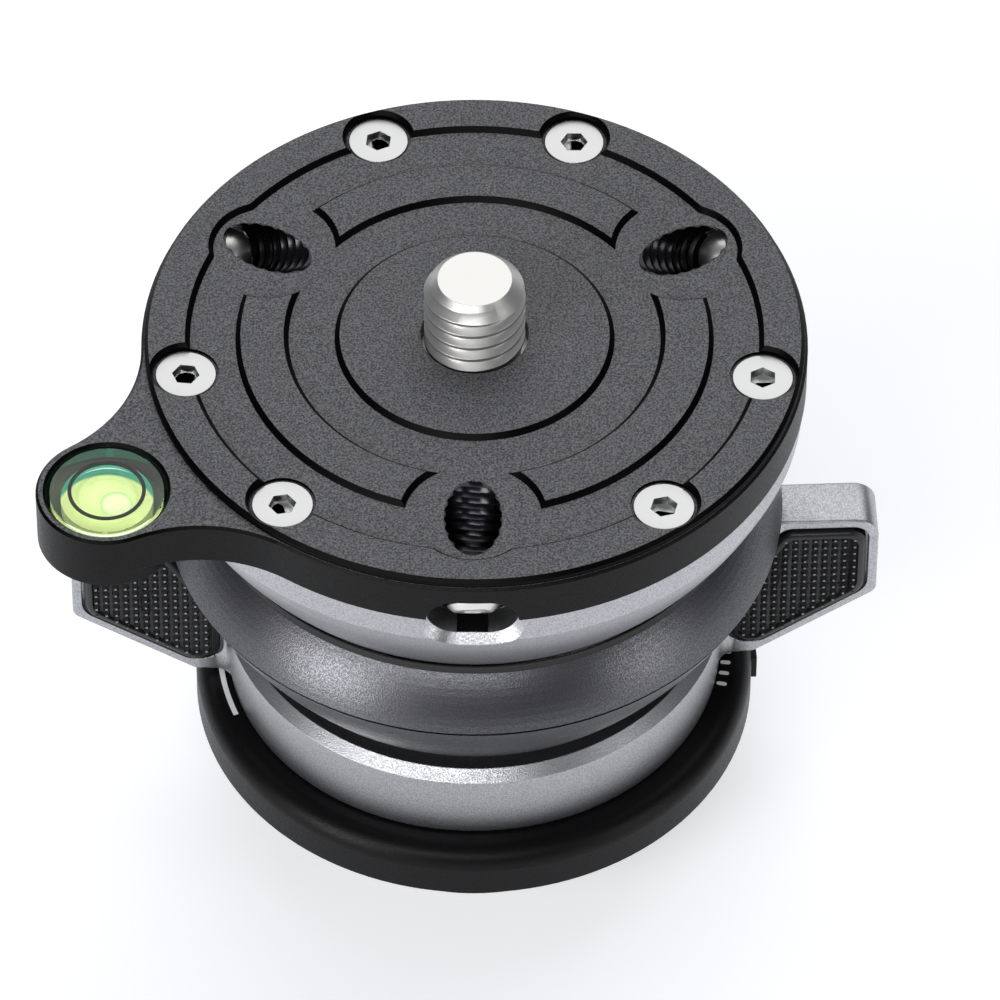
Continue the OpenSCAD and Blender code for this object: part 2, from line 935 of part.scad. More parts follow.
// Cone that narrows upward by as much as it is high, from below the recess to above the land
module tapered(r) {
  rise = recess_d + over;
  translate([0, 0, recess_z - over])
    cylinder(r1 = r + over, r2 = r - rise, h = rise + over);
}

// Cones round the grub screws' holes
module at_recess_holes() {
  for (at = grub_ats)
    rotate(at)
      translate([grub_at_r, 0, 0])
        children();
}

// Recess in the land, with sloping walls
module recess() {
  difference() {
    flared(rim_in_r, recess_z);
    tapered(disc_r);
    arc_pads();
    below_recess();
  }
  difference() {
    at_recess_holes()
      flared(grub_relief_r, recess_z);
    below_recess();
  }
}

// Everything below the recess
module below_recess() {
  translate([0, 0, recess_z - 2 * over])
    cylinder(r = platform_r, h = 2 * over);
}

// Three arc pads that stay in the recess
module arc_pads() {
  difference() {
    tapered(arc_out_r);
    flared(arc_in_r, recess_z);
    at_recess_holes()
      flared(arc_gap_r, recess_z);
  }
}

// Places the vial's own axis
module at_vial() {
  rotate(vial_at_deg)
    translate([vial_at_r, 0, 0])
      rotate(-vial_at_deg)
        children();
}

// Platform
module top_plate() {
  color("#3c3c3e")
    difference() {
      union() {
        translate([0, 0, plate_z])
          linear_extrude(plate_t)
            plate_outline();
        rotate_extrude()
          polygon([
            [0, plate_z],
            [platform_r, plate_z],
            [platform_r, land_z - land_bevel],
            [platform_r - land_bevel, land_z],
            [0, land_z]
          ]);
        at_vial()
          translate([0, 0, plate_z - lobe_boss_h])
            cylinder(r = lobe_r, h = lobe_boss_h);
      }
      recess();
      translate([0, 0, plate_z - over])
        cylinder(r = stud_hole_r, h = plate_t + land_h + 2 * over);
      translate([0, 0, plate_z - over])
        cylinder(r = stud_flange_r + stud_flange_play, h = stud_flange_top_z - plate_z + over);
      translate([0, 0, plate_z - over])
        cylinder(r = stud_nut_r, h = stud_flange_z - plate_z + over);
      at_plate_screws() {
        sunk_screw(screw_r + screw_play, screw_head_r, screw_head_rim, screw_len);
        translate([0, 0, -screw_head_rim])
          cylinder(r = screw_pocket_r, h = screw_head_rim + screw_sink - screw_pocket_bevel / 2);
      }
      at_screw_axes()
        flared(screw_pocket_r, land_z - screw_pocket_bevel);
      for (at = grub_ats) {
        grub_hole(at);
        grub_pocket(at);
      }
      at_vial()
        translate([0, 0, vial_floor_z])
          cylinder(r = vial_pocket_r, h = plate_t + lobe_boss_h);
    }
}

// Screws that hold the platform on the ball
module plate_screws() {
  color("#77777a")
    at_plate_screws()
      sunk_screw(screw_r, screw_head_r, screw_head_rim, screw_len);
}

// Stud for a tripod head
module stud() {
  tail_z = stud_nut_z + stud_tail;
  color("#b4b4b0") {
    translate([0, 0, tail_z])
      cylinder(r = stud_r, h = stud_flange_z - tail_z);
    translate([0, 0, stud_flange_z])
      cylinder(r = stud_r - stud_relief, h = land_z - stud_flange_z);
    translate([0, 0, land_z])
      cylinder(r = stud_r, h = stud_h - stud_chamfer_h);
    translate([0, 0, land_z + stud_h - stud_chamfer_h])
      cylinder(r1 = stud_r, r2 = stud_r - stud_chamfer, h = stud_chamfer_h);
    translate([0, 0, stud_flange_z])
      cylinder(r = stud_flange_r, h = stud_flange_t);
  }
}

// Ring nut that holds the stud from below
module stud_nut() {
  color("#6e6e70")
    ring(stud_r, stud_nut_r, stud_nut_z + stud_nut_lift, stud_nut_t - stud_nut_lift);
}

// Disc under the vial
module vial_base() {
  color("#9fb7a8")
    at_vial()
      translate([0, 0, vial_floor_z])
        cylinder(r = vial_r, h = vial_base_t);
}

// Space inside the vial
module vial_space() {
  intersection() {
    translate([0, 0, vial_z + vial_cavity_floor])
      cylinder(r = vial_cavity_r, h = vial_h);
    translate([0, 0, vial_dome_z])
      sphere(r = vial_dome_r);
  }
}

// Ball that shapes the bubble under the dome
module bubble_shape() {
  translate([bubble_at.x, bubble_at.y, vial_dome_z + vial_dome_r])
    sphere(r = bubble_r);
}

// Clear vial
module vial_body() {
  color("#c9d6cf")
    at_vial()
      difference() {
        translate([0, 0, vial_z])
          cylinder(r = vial_r, h = vial_h);
        vial_space();
      }
}

// Liquid in the vial
module vial_liquid() {
  color("#cfe87a")
    at_vial()
      difference() {
        vial_space();
        bubble_shape();
      }
}

// Bubble in the vial
module vial_bubble() {
  color("#f4fbd8")
    at_vial()
      intersection() {
        vial_space();
        bubble_shape();
      }
}

// Black centring ring on the vial
module vial_mark() {
  color("#141414")
    at_vial()
      ring(mark_r - mark_w / 2, mark_r + mark_w / 2, vial_top_z, mark_t);
}

// Ball-tipped grub screw
module grub(at) {
  tip_r = (pow(grub_tip_h, 2) + pow(grub_r, 2)) / (2 * grub_tip_h);
  color("#b9b9b6")
    at_grub(at)
      translate([0, 0, -grub_back - grub_len])
        intersection() {
          cylinder(r = grub_r, h = grub_len);
          translate([0, 0, grub_len - tip_r])
            sphere(r = tip_r);
        }
}

base_body();
thread_insert();
stop_pin();
thrust_washer();
bearing_ring();
cup();
cup_screws();
cup_collar();
wiper_ring();
lever_ring();
pad(0, 1);  // pad_right_front
pad(0, -1);  // pad_right_back
pad(180, -1);  // pad_left_front
pad(180, 1);  // pad_left_back
draw_collar();
cross_pin();
draw_bolt();
shoe();
disc_springs();
draw_washer();
draw_nut();
seat_ring();
slip_washer();
ball();
top_plate();
plate_screws();
stud();
stud_nut();
vial_base();
vial_body();
vial_liquid();
vial_bubble();
vial_mark();
grub(grub_front_deg);  // grub_front
grub(grub_right_deg);  // grub_right
grub(grub_left_deg);  // grub_left
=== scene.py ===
"""Looks of a photo and film leveling base: a platform on a half ball that a winged lever ring locks.

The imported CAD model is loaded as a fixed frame, in metres, with +Z up and the front facing -Y.
Most of its turned and milled metal keeps its CAD meshes and gets its finishes here. The threads, hex
sockets, knurled grips, rounded lever wings, printed marks and the platform's chamfered edge are modelled
here and ride on the CAD bodies.
"""

from __future__ import annotations

import logging
import math
from collections.abc import Callable, Iterator, Sequence
from contextlib import contextmanager
from dataclasses import dataclass, field
from enum import Enum

import bmesh
import bpy
from mathutils import Matrix, Quaternion, Vector

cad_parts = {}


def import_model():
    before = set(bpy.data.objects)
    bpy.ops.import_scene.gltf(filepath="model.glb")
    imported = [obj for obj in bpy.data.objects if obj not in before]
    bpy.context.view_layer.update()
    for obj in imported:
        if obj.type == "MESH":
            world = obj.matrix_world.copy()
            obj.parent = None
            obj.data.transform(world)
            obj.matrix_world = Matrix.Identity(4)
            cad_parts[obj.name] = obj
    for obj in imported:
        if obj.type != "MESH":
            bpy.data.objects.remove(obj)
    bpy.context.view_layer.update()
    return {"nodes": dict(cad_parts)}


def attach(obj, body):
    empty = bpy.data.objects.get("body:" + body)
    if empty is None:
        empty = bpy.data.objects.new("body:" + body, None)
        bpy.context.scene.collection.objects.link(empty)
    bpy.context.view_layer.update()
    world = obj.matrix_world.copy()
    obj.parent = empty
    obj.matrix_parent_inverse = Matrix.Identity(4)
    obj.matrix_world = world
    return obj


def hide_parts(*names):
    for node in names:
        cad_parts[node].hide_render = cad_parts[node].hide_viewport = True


MM = 0.001
# Corners of a mesh that lie nearer than this are one corner.
MERGE_MM = 0.0005
# Neighbouring faces of a CAD mesh that turn less than this are one flat face.
FLAT_DEG = 0.4
# A face looks the way it is wanted if its normal reaches at least this far along that way.
FACING = 0.9
# Blender's ring wave turns through this many radians in one unit of its scale.
WAVE_RADIANS = 20
# Samples of the shader node that rounds edges in the light.
BEVEL_SAMPLES = 4
# Steps in one turn of a screw thread.
THREAD_STEPS = 48
# A Mix node's inputs for the share and the two colours, and its output for the mixed colour.
MIX_SHARE, MIX_FROM, MIX_TO, MIX_RESULT = 0, 6, 7, 2
# Angle of each grub screw round the platform, from the right and counted to the back.
GRUB_DEG = {"front": 270.0, "right": 30.0, "left": 150.0}
log = logging.getLogger("leveling_base")


class Body(Enum):
    """The CAD bodies that pieces ride on."""

    BASE = "base"
    LEVER = "lever"
    HEAD = "head"
    FRONT_GRUB = "front_grub"
    RIGHT_GRUB = "right_grub"
    LEFT_GRUB = "left_grub"


class Cut(Enum):
    """How one solid changes another."""

    TAKE_AWAY = "DIFFERENCE"
    KEEP_COMMON = "INTERSECT"


class Side(Enum):
    """The two wings, by the angle from the right wing in degrees."""

    RIGHT = 0
    LEFT = 180


class Face(Enum):
    """The two faces of a wing, by the sign that the CAD source gives them."""

    NEAR = 1
    FAR = -1


class Skin(Enum):
    """Which copy of the platform's finish a face gets, by its material slot: grey where it faces up, painted shade on
    its walls and grooves.
    """

    BLASTED = 0
    WALL_SHADE = 1
    GROOVE_SHADE = 2


def linear(colour: str) -> tuple[float, float, float, float]:
    """Turn an sRGB hex colour to linear light.

    Args:
        colour: Six hex digits after a hash.

    Returns:
        Red, green, blue and an alpha of one.
    """
    parts = [int(colour[i : i + 2], 16) / 255 for i in (1, 3, 5)]
    turned = [p / 12.92 if p <= 0.04045 else ((p + 0.055) / 1.055) ** 2.4 for p in parts]
    return (*turned, 1.0)


def about_z(degrees: float) -> Matrix:
    """Turn about the upright axis, seen from above against the clock."""
    return Matrix.Rotation(math.radians(degrees), 4, "Z")


def add_node(
    tree: bpy.types.NodeTree, kind: str, inputs: dict[str | int, object] | None = None, **settings: object
) -> bpy.types.Node:
    """Add one shader node with its settings and links.

    Args:
        tree: Node tree that gets the node.
        kind: Blender's name of the node type.
        inputs: Value or linked socket for each named input.
        settings: Properties of the node.

    Returns:
        The new node.
    """
    node = tree.nodes.new(kind)
    for name, value in settings.items():
        setattr(node, name, value)
    for name, value in (inputs or {}).items():
        if isinstance(value, bpy.types.NodeSocket):
            tree.links.new(value, node.inputs[name])
        else:
            node.inputs[name].default_value = value
    return node


def new_material(name: str) -> tuple[bpy.types.Material, bpy.types.NodeTree]:
    """Make an empty node material.

    Args:
        name: Name of the material.

    Returns:
        The material and its node tree.
    """
    material = bpy.data.materials.new(name)
    material.use_nodes = True
    material.node_tree.nodes.clear()
    return material, material.node_tree


def dress(obj: bpy.types.Object, material: bpy.types.Material) -> None:
    """Give an object one material in place of those it came with.

    Args:
        obj: The object.
        material: Its new material.
    """
    obj.data.materials.clear()
    obj.data.materials.append(material)
    log.info("%s: %s", obj.name, material.name)


@dataclass(frozen=True)
class BlastedAnodised:
    """Aluminium bead-blasted and anodised: matte, with fine pits that sparkle and soft bright edges."""

    name: str
    colour: str
    pit_colour: str
    roughness: float
    pit_mm: float
    pit_depth_mm: float
    metallic: float = 1.0
    specular: float = 0.5
    pit_low: float = 0.34
    pit_high: float = 0.66
    gloss_swing: float = 0.06
    edge_mm: float = 0.12

    def make(self) -> bpy.types.Material:
        """Build the material.

        Returns:
            The material, with pits drawn at about three times their real size so that they show.
        """
        material, tree = new_material(self.name)
        place = add_node(tree, "ShaderNodeTexCoord").outputs["Object"]
        pits = add_node(
            tree,
            "ShaderNodeTexNoise",
            {"Vector": place, "Scale": 1 / (self.pit_mm * MM), "Detail": 1.0, "Roughness": 0.5},
        )
        depth = add_node(
            tree,
            "ShaderNodeMapRange",
            {"Value": pits.outputs["Fac"], "From Min": self.pit_low, "From Max": self.pit_high},
        )
        tone = add_node(
            tree,
            "ShaderNodeMix",
            {MIX_SHARE: depth.outputs[0], MIX_FROM: linear(self.pit_colour), MIX_TO: linear(self.colour)},
            data_type="RGBA",
        )
        gloss = add_node(
            tree,
            "ShaderNodeMapRange",
            {"Value": depth.outputs[0], "To Min": self.roughness + self.gloss_swing,
             "To Max": self.roughness - self.gloss_swing},
        )
        edge = add_node(tree, "ShaderNodeBevel", {"Radius": self.edge_mm * MM}, samples=BEVEL_SAMPLES)
        bump = add_node(
            tree,
            "ShaderNodeBump",
            {"Height": depth.outputs[0], "Distance": self.pit_depth_mm * MM, "Normal": edge.outputs[0]},
        )
        shader = add_node(
            tree,
            "ShaderNodeBsdfPrincipled",
            {"Base Color": tone.outputs[MIX_RESULT], "Metallic": self.metallic, "Specular IOR Level": self.specular,
             "Roughness": gloss.outputs[0], "Normal": bump.outputs[0]},
        )
        add_node(tree, "ShaderNodeOutputMaterial", {"Surface": shader.outputs[0]})
        return material


@dataclass(frozen=True)
class TurnedMetal:
    """Metal turned on a lathe: fine rings round the axis that stretch the highlights."""

    name: str
    colour: str
    roughness: float
    metallic: float = 1.0
    specular: float = 0.5
    ring_mm: float = 0.12
    ring_depth_mm: float = 0.003
    edge_mm: float = 0.08

    def make(self) -> bpy.types.Material:
        """Build the material.

        Returns:
            The material, with its rings about six times as wide as real tool marks so that they show.
        """
        material, tree = new_material(self.name)
        place = add_node(tree, "ShaderNodeTexCoord").outputs["Object"]
        rings = add_node(
            tree,
            "ShaderNodeTexWave",
            {"Vector": place, "Scale": 1 / (WAVE_RADIANS * self.ring_mm * MM), "Distortion": 0.6,
             "Detail": 1.0, "Detail Scale": 4.0},
            wave_type="RINGS",
            rings_direction="Z",
        )
        edge = add_node(tree, "ShaderNodeBevel", {"Radius": self.edge_mm * MM}, samples=BEVEL_SAMPLES)
        bump = add_node(
            tree,
            "ShaderNodeBump",
            {"Height": rings.outputs["Fac"], "Distance": self.ring_depth_mm * MM, "Normal": edge.outputs[0]},
        )
        shader = add_node(
            tree,
            "ShaderNodeBsdfPrincipled",
            {"Base Color": linear(self.colour), "Metallic": self.metallic, "Specular IOR Level": self.specular,
             "Roughness": self.roughness, "Normal": bump.outputs[0]},
        )
        add_node(tree, "ShaderNodeOutputMaterial", {"Surface": shader.outputs[0]})
        return material


@dataclass(frozen=True)
class MouldedRubber:
    """Moulded rubber: near black, with a dull gloss and a faint cloudy bloom."""

    name: str
    colour: str
    roughness: float
    cloud_mm: float = 0.35
    cloud_depth_mm: float = 0.01
    gloss_swing: float = 0.1

    def make(self) -> bpy.types.Material:
        """Build the material.

        Returns:
            The material.
        """
        material, tree = new_material(self.name)
        place = add_node(tree, "ShaderNodeTexCoord").outputs["Object"]
        cloud = add_node(
            tree, "ShaderNodeTexNoise", {"Vector": place, "Scale": 1 / (self.cloud_mm * MM), "Detail": 3.0}
        )
        gloss = add_node(
            tree,
            "ShaderNodeMapRange",
            {"Value": cloud.outputs["Fac"], "To Min": self.roughness - self.gloss_swing,
             "To Max": self.roughness + self.gloss_swing},
        )
        bump = add_node(
            tree, "ShaderNodeBump", {"Height": cloud.outputs["Fac"], "Distance": self.cloud_depth_mm * MM}
        )
        shader = add_node(
            tree,
            "ShaderNodeBsdfPrincipled",
            {"Base Color": linear(self.colour), "Roughness": gloss.outputs[0], "Normal": bump.outputs[0]},
        )
        add_node(tree, "ShaderNodeOutputMaterial", {"Surface": shader.outputs[0]})
        return material


@dataclass(frozen=True)
class PlainPlastic:
    """Turned or moulded plastic: satin, with a very fine grain."""

    name: str
    colour: str
    roughness: float
    grain_mm: float = 0.2
    grain_depth_mm: float = 0.003

    def make(self) -> bpy.types.Material:
        """Build the material.

        Returns:
            The material.
        """
        material, tree = new_material(self.name)
        place = add_node(tree, "ShaderNodeTexCoord").outputs["Object"]
        grain = add_node(
            tree, "ShaderNodeTexNoise", {"Vector": place, "Scale": 1 / (self.grain_mm * MM), "Detail": 2.0}
        )
        bump = add_node(
            tree, "ShaderNodeBump", {"Height": grain.outputs["Fac"], "Distance": self.grain_depth_mm * MM}
        )
        shader = add_node(
            tree,
            "ShaderNodeBsdfPrincipled",
            {"Base Color": linear(self.colour), "Roughness": self.roughness, "Normal": bump.outputs[0]},
        )
        add_node(tree, "ShaderNodeOutputMaterial", {"Surface": shader.outputs[0]})
        return material


@dataclass(frozen=True)
class ClearPiece:
    """A clear material that light goes through, such as polished acrylic."""

    name: str
    colour: str
    ior: float
    roughness: float = 0.02
    swirl_mm: float = 1.2
    swirl_depth_mm: float = 0.004

    def make(self) -> bpy.types.Material:
        """Build the material.

        Returns:
            The material, which lets light down to what lies under it, with a slight waviness of the polish.
        """
        material, tree = new_material(self.name)
        place = add_node(tree, "ShaderNodeTexCoord").outputs["Object"]
        swirl = add_node(
            tree, "ShaderNodeTexNoise", {"Vector": place, "Scale": 1 / (self.swirl_mm * MM)}
        )
        bump = add_node(
            tree, "ShaderNodeBump", {"Height": swirl.outputs["Fac"], "Distance": self.swirl_depth_mm * MM}
        )
        shader = add_node(
            tree,
            "ShaderNodeBsdfPrincipled",
            {"Base Color": linear(self.colour), "Roughness": self.roughness, "IOR": self.ior,
             "Transmission Weight": 1.0, "Normal": bump.outputs[0]},
        )
        gap = add_node(tree, "ShaderNodeBsdfTransparent", {"Color": linear(self.colour)})
        shadow = add_node(tree, "ShaderNodeLightPath").outputs["Is Shadow Ray"]
        mix = add_node(tree, "ShaderNodeMixShader", {0: shadow, 1: shader.outputs[0], 2: gap.outputs[0]})
        add_node(tree, "ShaderNodeOutputMaterial", {"Surface": mix.outputs[0]})
        return material


@dataclass(frozen=True)
class DyedLiquid:
    """Fluorescent dyed alcohol: bright yellow-green with a painted glow, and a painted bluer crescent at its far side
    for the far wall seen through it.
    """

    name: str
    colour: str
    painted_rim_colour: str
    centre_mm: tuple[float, float, float]
    painted_rim_from_mm: float
    painted_rim_to_mm: float
    # Strength of a painted glow, which brightens the colour without a lamp.
    glow: float = 0.22
    roughness: float = 0.08
    ior: float = 1.36
    see_through: float = 0.1

    def make(self) -> bpy.types.Material:
        """Build the material.

        Returns:
            The material, with a painted glow and a painted crescent of bluer colour near its rim.
        """
        material, tree = new_material(self.name)
        place = add_node(tree, "ShaderNodeTexCoord").outputs["Object"]
        centre = [x * MM for x in self.centre_mm]
        away = add_node(
            tree, "ShaderNodeVectorMath", {0: place, 1: centre}, operation="DISTANCE"
        )
        share = add_node(
            tree,
            "ShaderNodeMapRange",
            {"Value": away.outputs["Value"], "From Min": self.painted_rim_from_mm * MM, "From Max": self.painted_rim_to_mm * MM},
        )
        tone = add_node(
            tree,
            "ShaderNodeMix",
            {MIX_SHARE: share.outputs[0], MIX_FROM: linear(self.colour), MIX_TO: linear(self.painted_rim_colour)},
            data_type="RGBA",
        )
        shader = add_node(
            tree,
            "ShaderNodeBsdfPrincipled",
            {"Base Color": tone.outputs[MIX_RESULT], "Roughness": self.roughness, "IOR": self.ior,
             "Transmission Weight": self.see_through, "Emission Color": tone.outputs[MIX_RESULT],
             "Emission Strength": self.glow},
        )
        add_node(tree, "ShaderNodeOutputMaterial", {"Surface": shader.outputs[0]})
        return material


class Bench:
    """Blender's mesh tools as they are used by hand."""

    @staticmethod
    def pick(obj: bpy.types.Object) -> None:
        """Select one object alone and make it active.

        Args:
            obj: The object.
        """
        bpy.ops.object.select_all(action="DESELECT")
        obj.select_set(True)
        bpy.context.view_layer.objects.active = obj

    @staticmethod
    @contextmanager
    def editing(obj: bpy.types.Object, mode: str = "VERT") -> Iterator[bmesh.types.BMesh]:
        """Open one object in edit mode.

        Args:
            obj: Object to edit.
            mode: Select mode, VERT, EDGE or FACE.

        Yields:
            The edit mesh, for selecting by place or normal.
        """
        Bench.pick(obj)
        bpy.ops.object.mode_set(mode="EDIT")
        bpy.ops.mesh.select_mode(type=mode)
        bpy.ops.mesh.select_all(action="DESELECT")
        yield bmesh.from_edit_mesh(obj.data)
        bpy.ops.object.mode_set(mode="OBJECT")

    @staticmethod
    def select(obj: bpy.types.Object, parts: Sequence[object], wanted: Callable[[object], bool]) -> None:
        """Select some parts of an edit mesh.

        Args:
            obj: The object in edit mode.
            parts: The vertices, edges or faces to choose from.
            wanted: Test that is true for the ones to select.
        """
        for part in parts:
            part.select_set(bool(wanted(part)))
        bmesh.update_edit_mesh(obj.data)

    @staticmethod
    def settle(obj: bpy.types.Object, name: str, matrix: Matrix | None = None) -> bpy.types.Object:
        """Put an object's place into its mesh and name it.

        Args:
            obj: Object to settle.
            name: Its new name.
            matrix: Where it goes, or None to keep the place it has.

        Returns:
            The same object, at the origin and unturned.
        """
        if matrix is not None:
            obj.matrix_world = matrix
        Bench.pick(obj)
        bpy.ops.object.transform_apply(location=True, rotation=True, scale=True)
        obj.name = name
        return obj

    @staticmethod
    def rod(name: str, radius: float, low: float, high: float, sides: int = 96) -> bpy.types.Object:
        """Add an upright cylinder.

        Args:
            name: Name of the object.
            radius: Radius in mm.
            low: Height of its foot in mm.
            high: Height of its top in mm.
            sides: Number of its sides.

        Returns:
            The object.
        """
        bpy.ops.mesh.primitive_cylinder_add(
            vertices=sides, radius=radius * MM, depth=(high - low) * MM, location=(0, 0, (low + high) / 2 * MM)
        )
        return Bench.settle(bpy.context.object, name)

    @staticmethod
    def apply(obj: bpy.types.Object, kind: str, **settings: object) -> None:
        """Add a modifier and apply it.

        Args:
            obj: Object that it changes.
            kind: Blender's name of the modifier type.
            settings: Properties of the modifier.
        """
        modifier = obj.modifiers.new(kind, kind)
        for name, value in settings.items():
            setattr(modifier, name, value)
        Bench.pick(obj)
        bpy.ops.object.modifier_apply(modifier=modifier.name)

    @staticmethod
    def cut(obj: bpy.types.Object, tool: bpy.types.Object, how: Cut) -> None:
        """Change a solid by another one, which is used up."""
        Bench.apply(obj, "BOOLEAN", operation=how.value, object=tool, solver="EXACT")
        bpy.data.objects.remove(tool)

    @staticmethod
    def trim(obj: bpy.types.Object, point: Vector, normal: Vector, fill: bool = True) -> None:
        """Cut away what lies beyond a plane.

        Args:
            obj: Object to cut.
            point: A point on the plane, in metres.
            normal: Direction of the side that goes.
            fill: Whether the cut is closed.
        """
        with Bench.editing(obj):
            bpy.ops.mesh.select_all(action="SELECT")
            bpy.ops.mesh.bisect(plane_co=point, plane_no=normal, use_fill=fill, clear_outer=True)

    @staticmethod
    def tidy(obj: bpy.types.Object, angle: float = 30) -> None:
        """Merge doubles, turn the faces outwards and smooth all but the sharp edges.

        Args:
            obj: The object.
            angle: Angle in degrees from which an edge stays sharp.
        """
        with Bench.editing(obj):
            bpy.ops.mesh.select_all(action="SELECT")
            bpy.ops.mesh.remove_doubles(threshold=MERGE_MM * MM)
            bpy.ops.mesh.normals_make_consistent(inside=False)
        bpy.ops.object.shade_smooth_by_angle(angle=math.radians(angle))

    @staticmethod
    def join(name: str, parts: Sequence[bpy.types.Object]) -> bpy.types.Object:
        """Join objects to one.

        Args:
            name: Name of the joined object.
            parts: Objects to join.

        Returns:
            The joined object.
        """
        Bench.pick(parts[0])
        for part in parts:
            part.select_set(True)
        bpy.ops.object.join()
        parts[0].name = name
        return parts[0]

    @staticmethod
    def repeat(obj: bpy.types.Object, name: str, matrix: Matrix) -> bpy.types.Object:
        """Copy an object with its own mesh and move the copy.

        Args:
            obj: Object to copy.
            name: Name of the copy.
            matrix: Move from the object to the copy.

        Returns:
            The copy.
        """
        made = bpy.data.objects.new(name, obj.data.copy())
        bpy.context.scene.collection.objects.link(made)
        return Bench.settle(made, name, matrix)

    @staticmethod
    def from_cad(name: str, node: bpy.types.Object) -> bpy.types.Object:
        """Copy a CAD node's mesh, merged and with its flat faces whole.

        Args:
            name: Name of the copy.
            node: The CAD node.

        Returns:
            The copy, which rides on nothing yet.
        """
        made = Bench.repeat(node, name, Matrix.Identity(4))
        if made.data.has_custom_normals:
            bpy.ops.mesh.customdata_custom_splitnormals_clear()
        with Bench.editing(made):
            bpy.ops.mesh.select_all(action="SELECT")
            bpy.ops.mesh.remove_doubles(threshold=MERGE_MM * MM)
            bpy.ops.mesh.dissolve_limited(angle_limit=math.radians(FLAT_DEG))
        return made

    @staticmethod
    def hex_key(half: float, deep: float, matrix: Matrix | None = None) -> bpy.types.Object:
        """Make the tool that cuts a hex socket.

        Args:
            half: Half its width across flats in mm.
            deep: Depth of the socket in mm.
            matrix: Where its middle goes, or None for the origin.

        Returns:
            The tool, twice as long as the socket is deep.
        """
        bpy.ops.mesh.primitive_cylinder_add(
            vertices=6, radius=half / math.cos(math.pi / 6) * MM, depth=2 * deep * MM
        )
        return Bench.settle(bpy.context.object, "key", matrix)

    @staticmethod
    def thread(name: str, radius: float, depth: float, pitch: float, turns: int, crest: float) -> bpy.types.Object:
        """Cut a rod with a screw thread, standing on the ground plane.

        Args:
            name: Name of the object.
            radius: Outer radius in mm.
            depth: Depth of the thread in mm.
            pitch: Distance between turns in mm.
            turns: Number of whole turns.
            crest: Width of the flat crest as a share of the pitch.

        Returns:
            The threaded rod, closed at both ends.
        """
        bpy.ops.mesh.primitive_plane_add(size=MM, rotation=(math.pi / 2, 0, 0))
        obj = Bench.settle(bpy.context.object, name)
        middle = Vector(((radius - depth / 2) * MM, 0, pitch / 2 * MM))
        with Bench.editing(obj) as mesh:
            bpy.ops.mesh.select_all(action="SELECT")
            bpy.ops.transform.resize(value=(depth, 1, pitch), center_override=(0, 0, 0))
            bpy.ops.transform.translate(value=middle)
            Bench.select(obj, mesh.verts, lambda v: v.co.x > middle.x)
            bpy.ops.transform.resize(value=(1, 1, crest), center_override=middle)
        with Bench.editing(obj, "EDGE") as mesh:
            Bench.select(obj, mesh.edges, lambda e: all(v.co.x < middle.x for v in e.verts))
            bpy.ops.mesh.delete(type="EDGE")
        Bench.apply(
            obj,
            "SCREW",
            axis="Z",
            angle=math.tau,
            screw_offset=pitch * MM,
            iterations=turns + 1,
            steps=THREAD_STEPS,
            render_steps=THREAD_STEPS,
            use_merge_vertices=True,
            merge_threshold=MERGE_MM * MM,
        )
        Bench.tidy(obj)
        Bench.trim(obj, Vector((0, 0, pitch * MM)), Vector((0, 0, -1)))
        Bench.trim(obj, Vector((0, 0, (turns + 1) * pitch * MM)), Vector((0, 0, 1)))
        return Bench.settle(obj, name, Matrix.Translation((0, 0, -pitch * MM)))


def hand_over(obj: bpy.types.Object, body: Body, slot: str, *nodes: str) -> None:
    """Let a finished piece ride on its body and stand for the CAD nodes it replaces.

    Args:
        obj: The piece.
        body: The CAD body it rides on.
        slot: Not used.
        nodes: CAD nodes that it stands for.
    """
    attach(obj, body.value)
    if nodes:
        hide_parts(*nodes)
    log.info("%s: %d faces on %s", obj.name, len(obj.data.polygons), body.value)


# Clear anodising over a fine bead blast: bare-looking silver with a soft grain.
SILVER = BlastedAnodised("bead_blasted_clear_anodised", "#babbbf", "#9c9da1", 0.36, pit_mm=0.15, pit_depth_mm=0.007)
# The cup and collar are the same silver blast painted a darker grey, a painted reflection of the dark front, with
# broad dim highlights.
SILVER_PAINTED_DARK = BlastedAnodised("bead_blasted_silver_painted_dark_reflection", "#68686c", "#515155", 0.36, pit_mm=0.15, pit_depth_mm=0.006)
# Sealed black dye hides the metal, so it isn't metallic here, and only grazing light draws its grain.
BLACK = BlastedAnodised(
    "bead_blasted_black_anodised",
    "#0d0d0f",
    "#070708",
    0.4,
    pit_mm=0.17,
    pit_depth_mm=0.008,
    metallic=0.0,
    specular=0.15,
)
# A coarser blast makes the platform's upward faces dark grey and sandy; this grey is the lit copy beside the painted
# shade of its walls.
PLATFORM = BlastedAnodised(
    "bead_blasted_grey_anodised", "#6c6c70", "#2e2e31", 0.5, pit_mm=0.19, pit_depth_mm=0.02, metallic=0.0
)
# Painted shade: the platform's walls and the walls of the ball's side pockets get this smooth near-black copy,
# blacker than the blasted faces.
PAINTED_SHADE_WALLS = BlastedAnodised(
    "anodised_walls_painted_shade",
    "#111112",
    "#0a0a0b",
    0.4,
    pit_mm=0.17,
    pit_depth_mm=0.008,
    metallic=0.0,
    specular=0.12,
)
# Painted shade: the grooves' walls and the lobe's chamfer get the deepest black, which draws a line round each
# blasted face.
PAINTED_SHADE_GROOVES = TurnedMetal("anodised_grooves_painted_shade", "#030304", 0.35, metallic=0.0, specular=0.06)
# A tap leaves shiny flanks that glint in the dark holes.
TAPPED = TurnedMetal("tapped_aluminium_threads", "#38383b", 0.22)
# Turned stainless steel is bright and a little warm, with rings on its flats.
STAINLESS = TurnedMetal("turned_stainless_steel", "#dbdad7", 0.38)
# Nickel plate levels the tool marks and looks almost white from above.
NICKEL = TurnedMetal("nickel_plated_steel", "#c8c8c8", 0.34, ring_depth_mm=0.001)
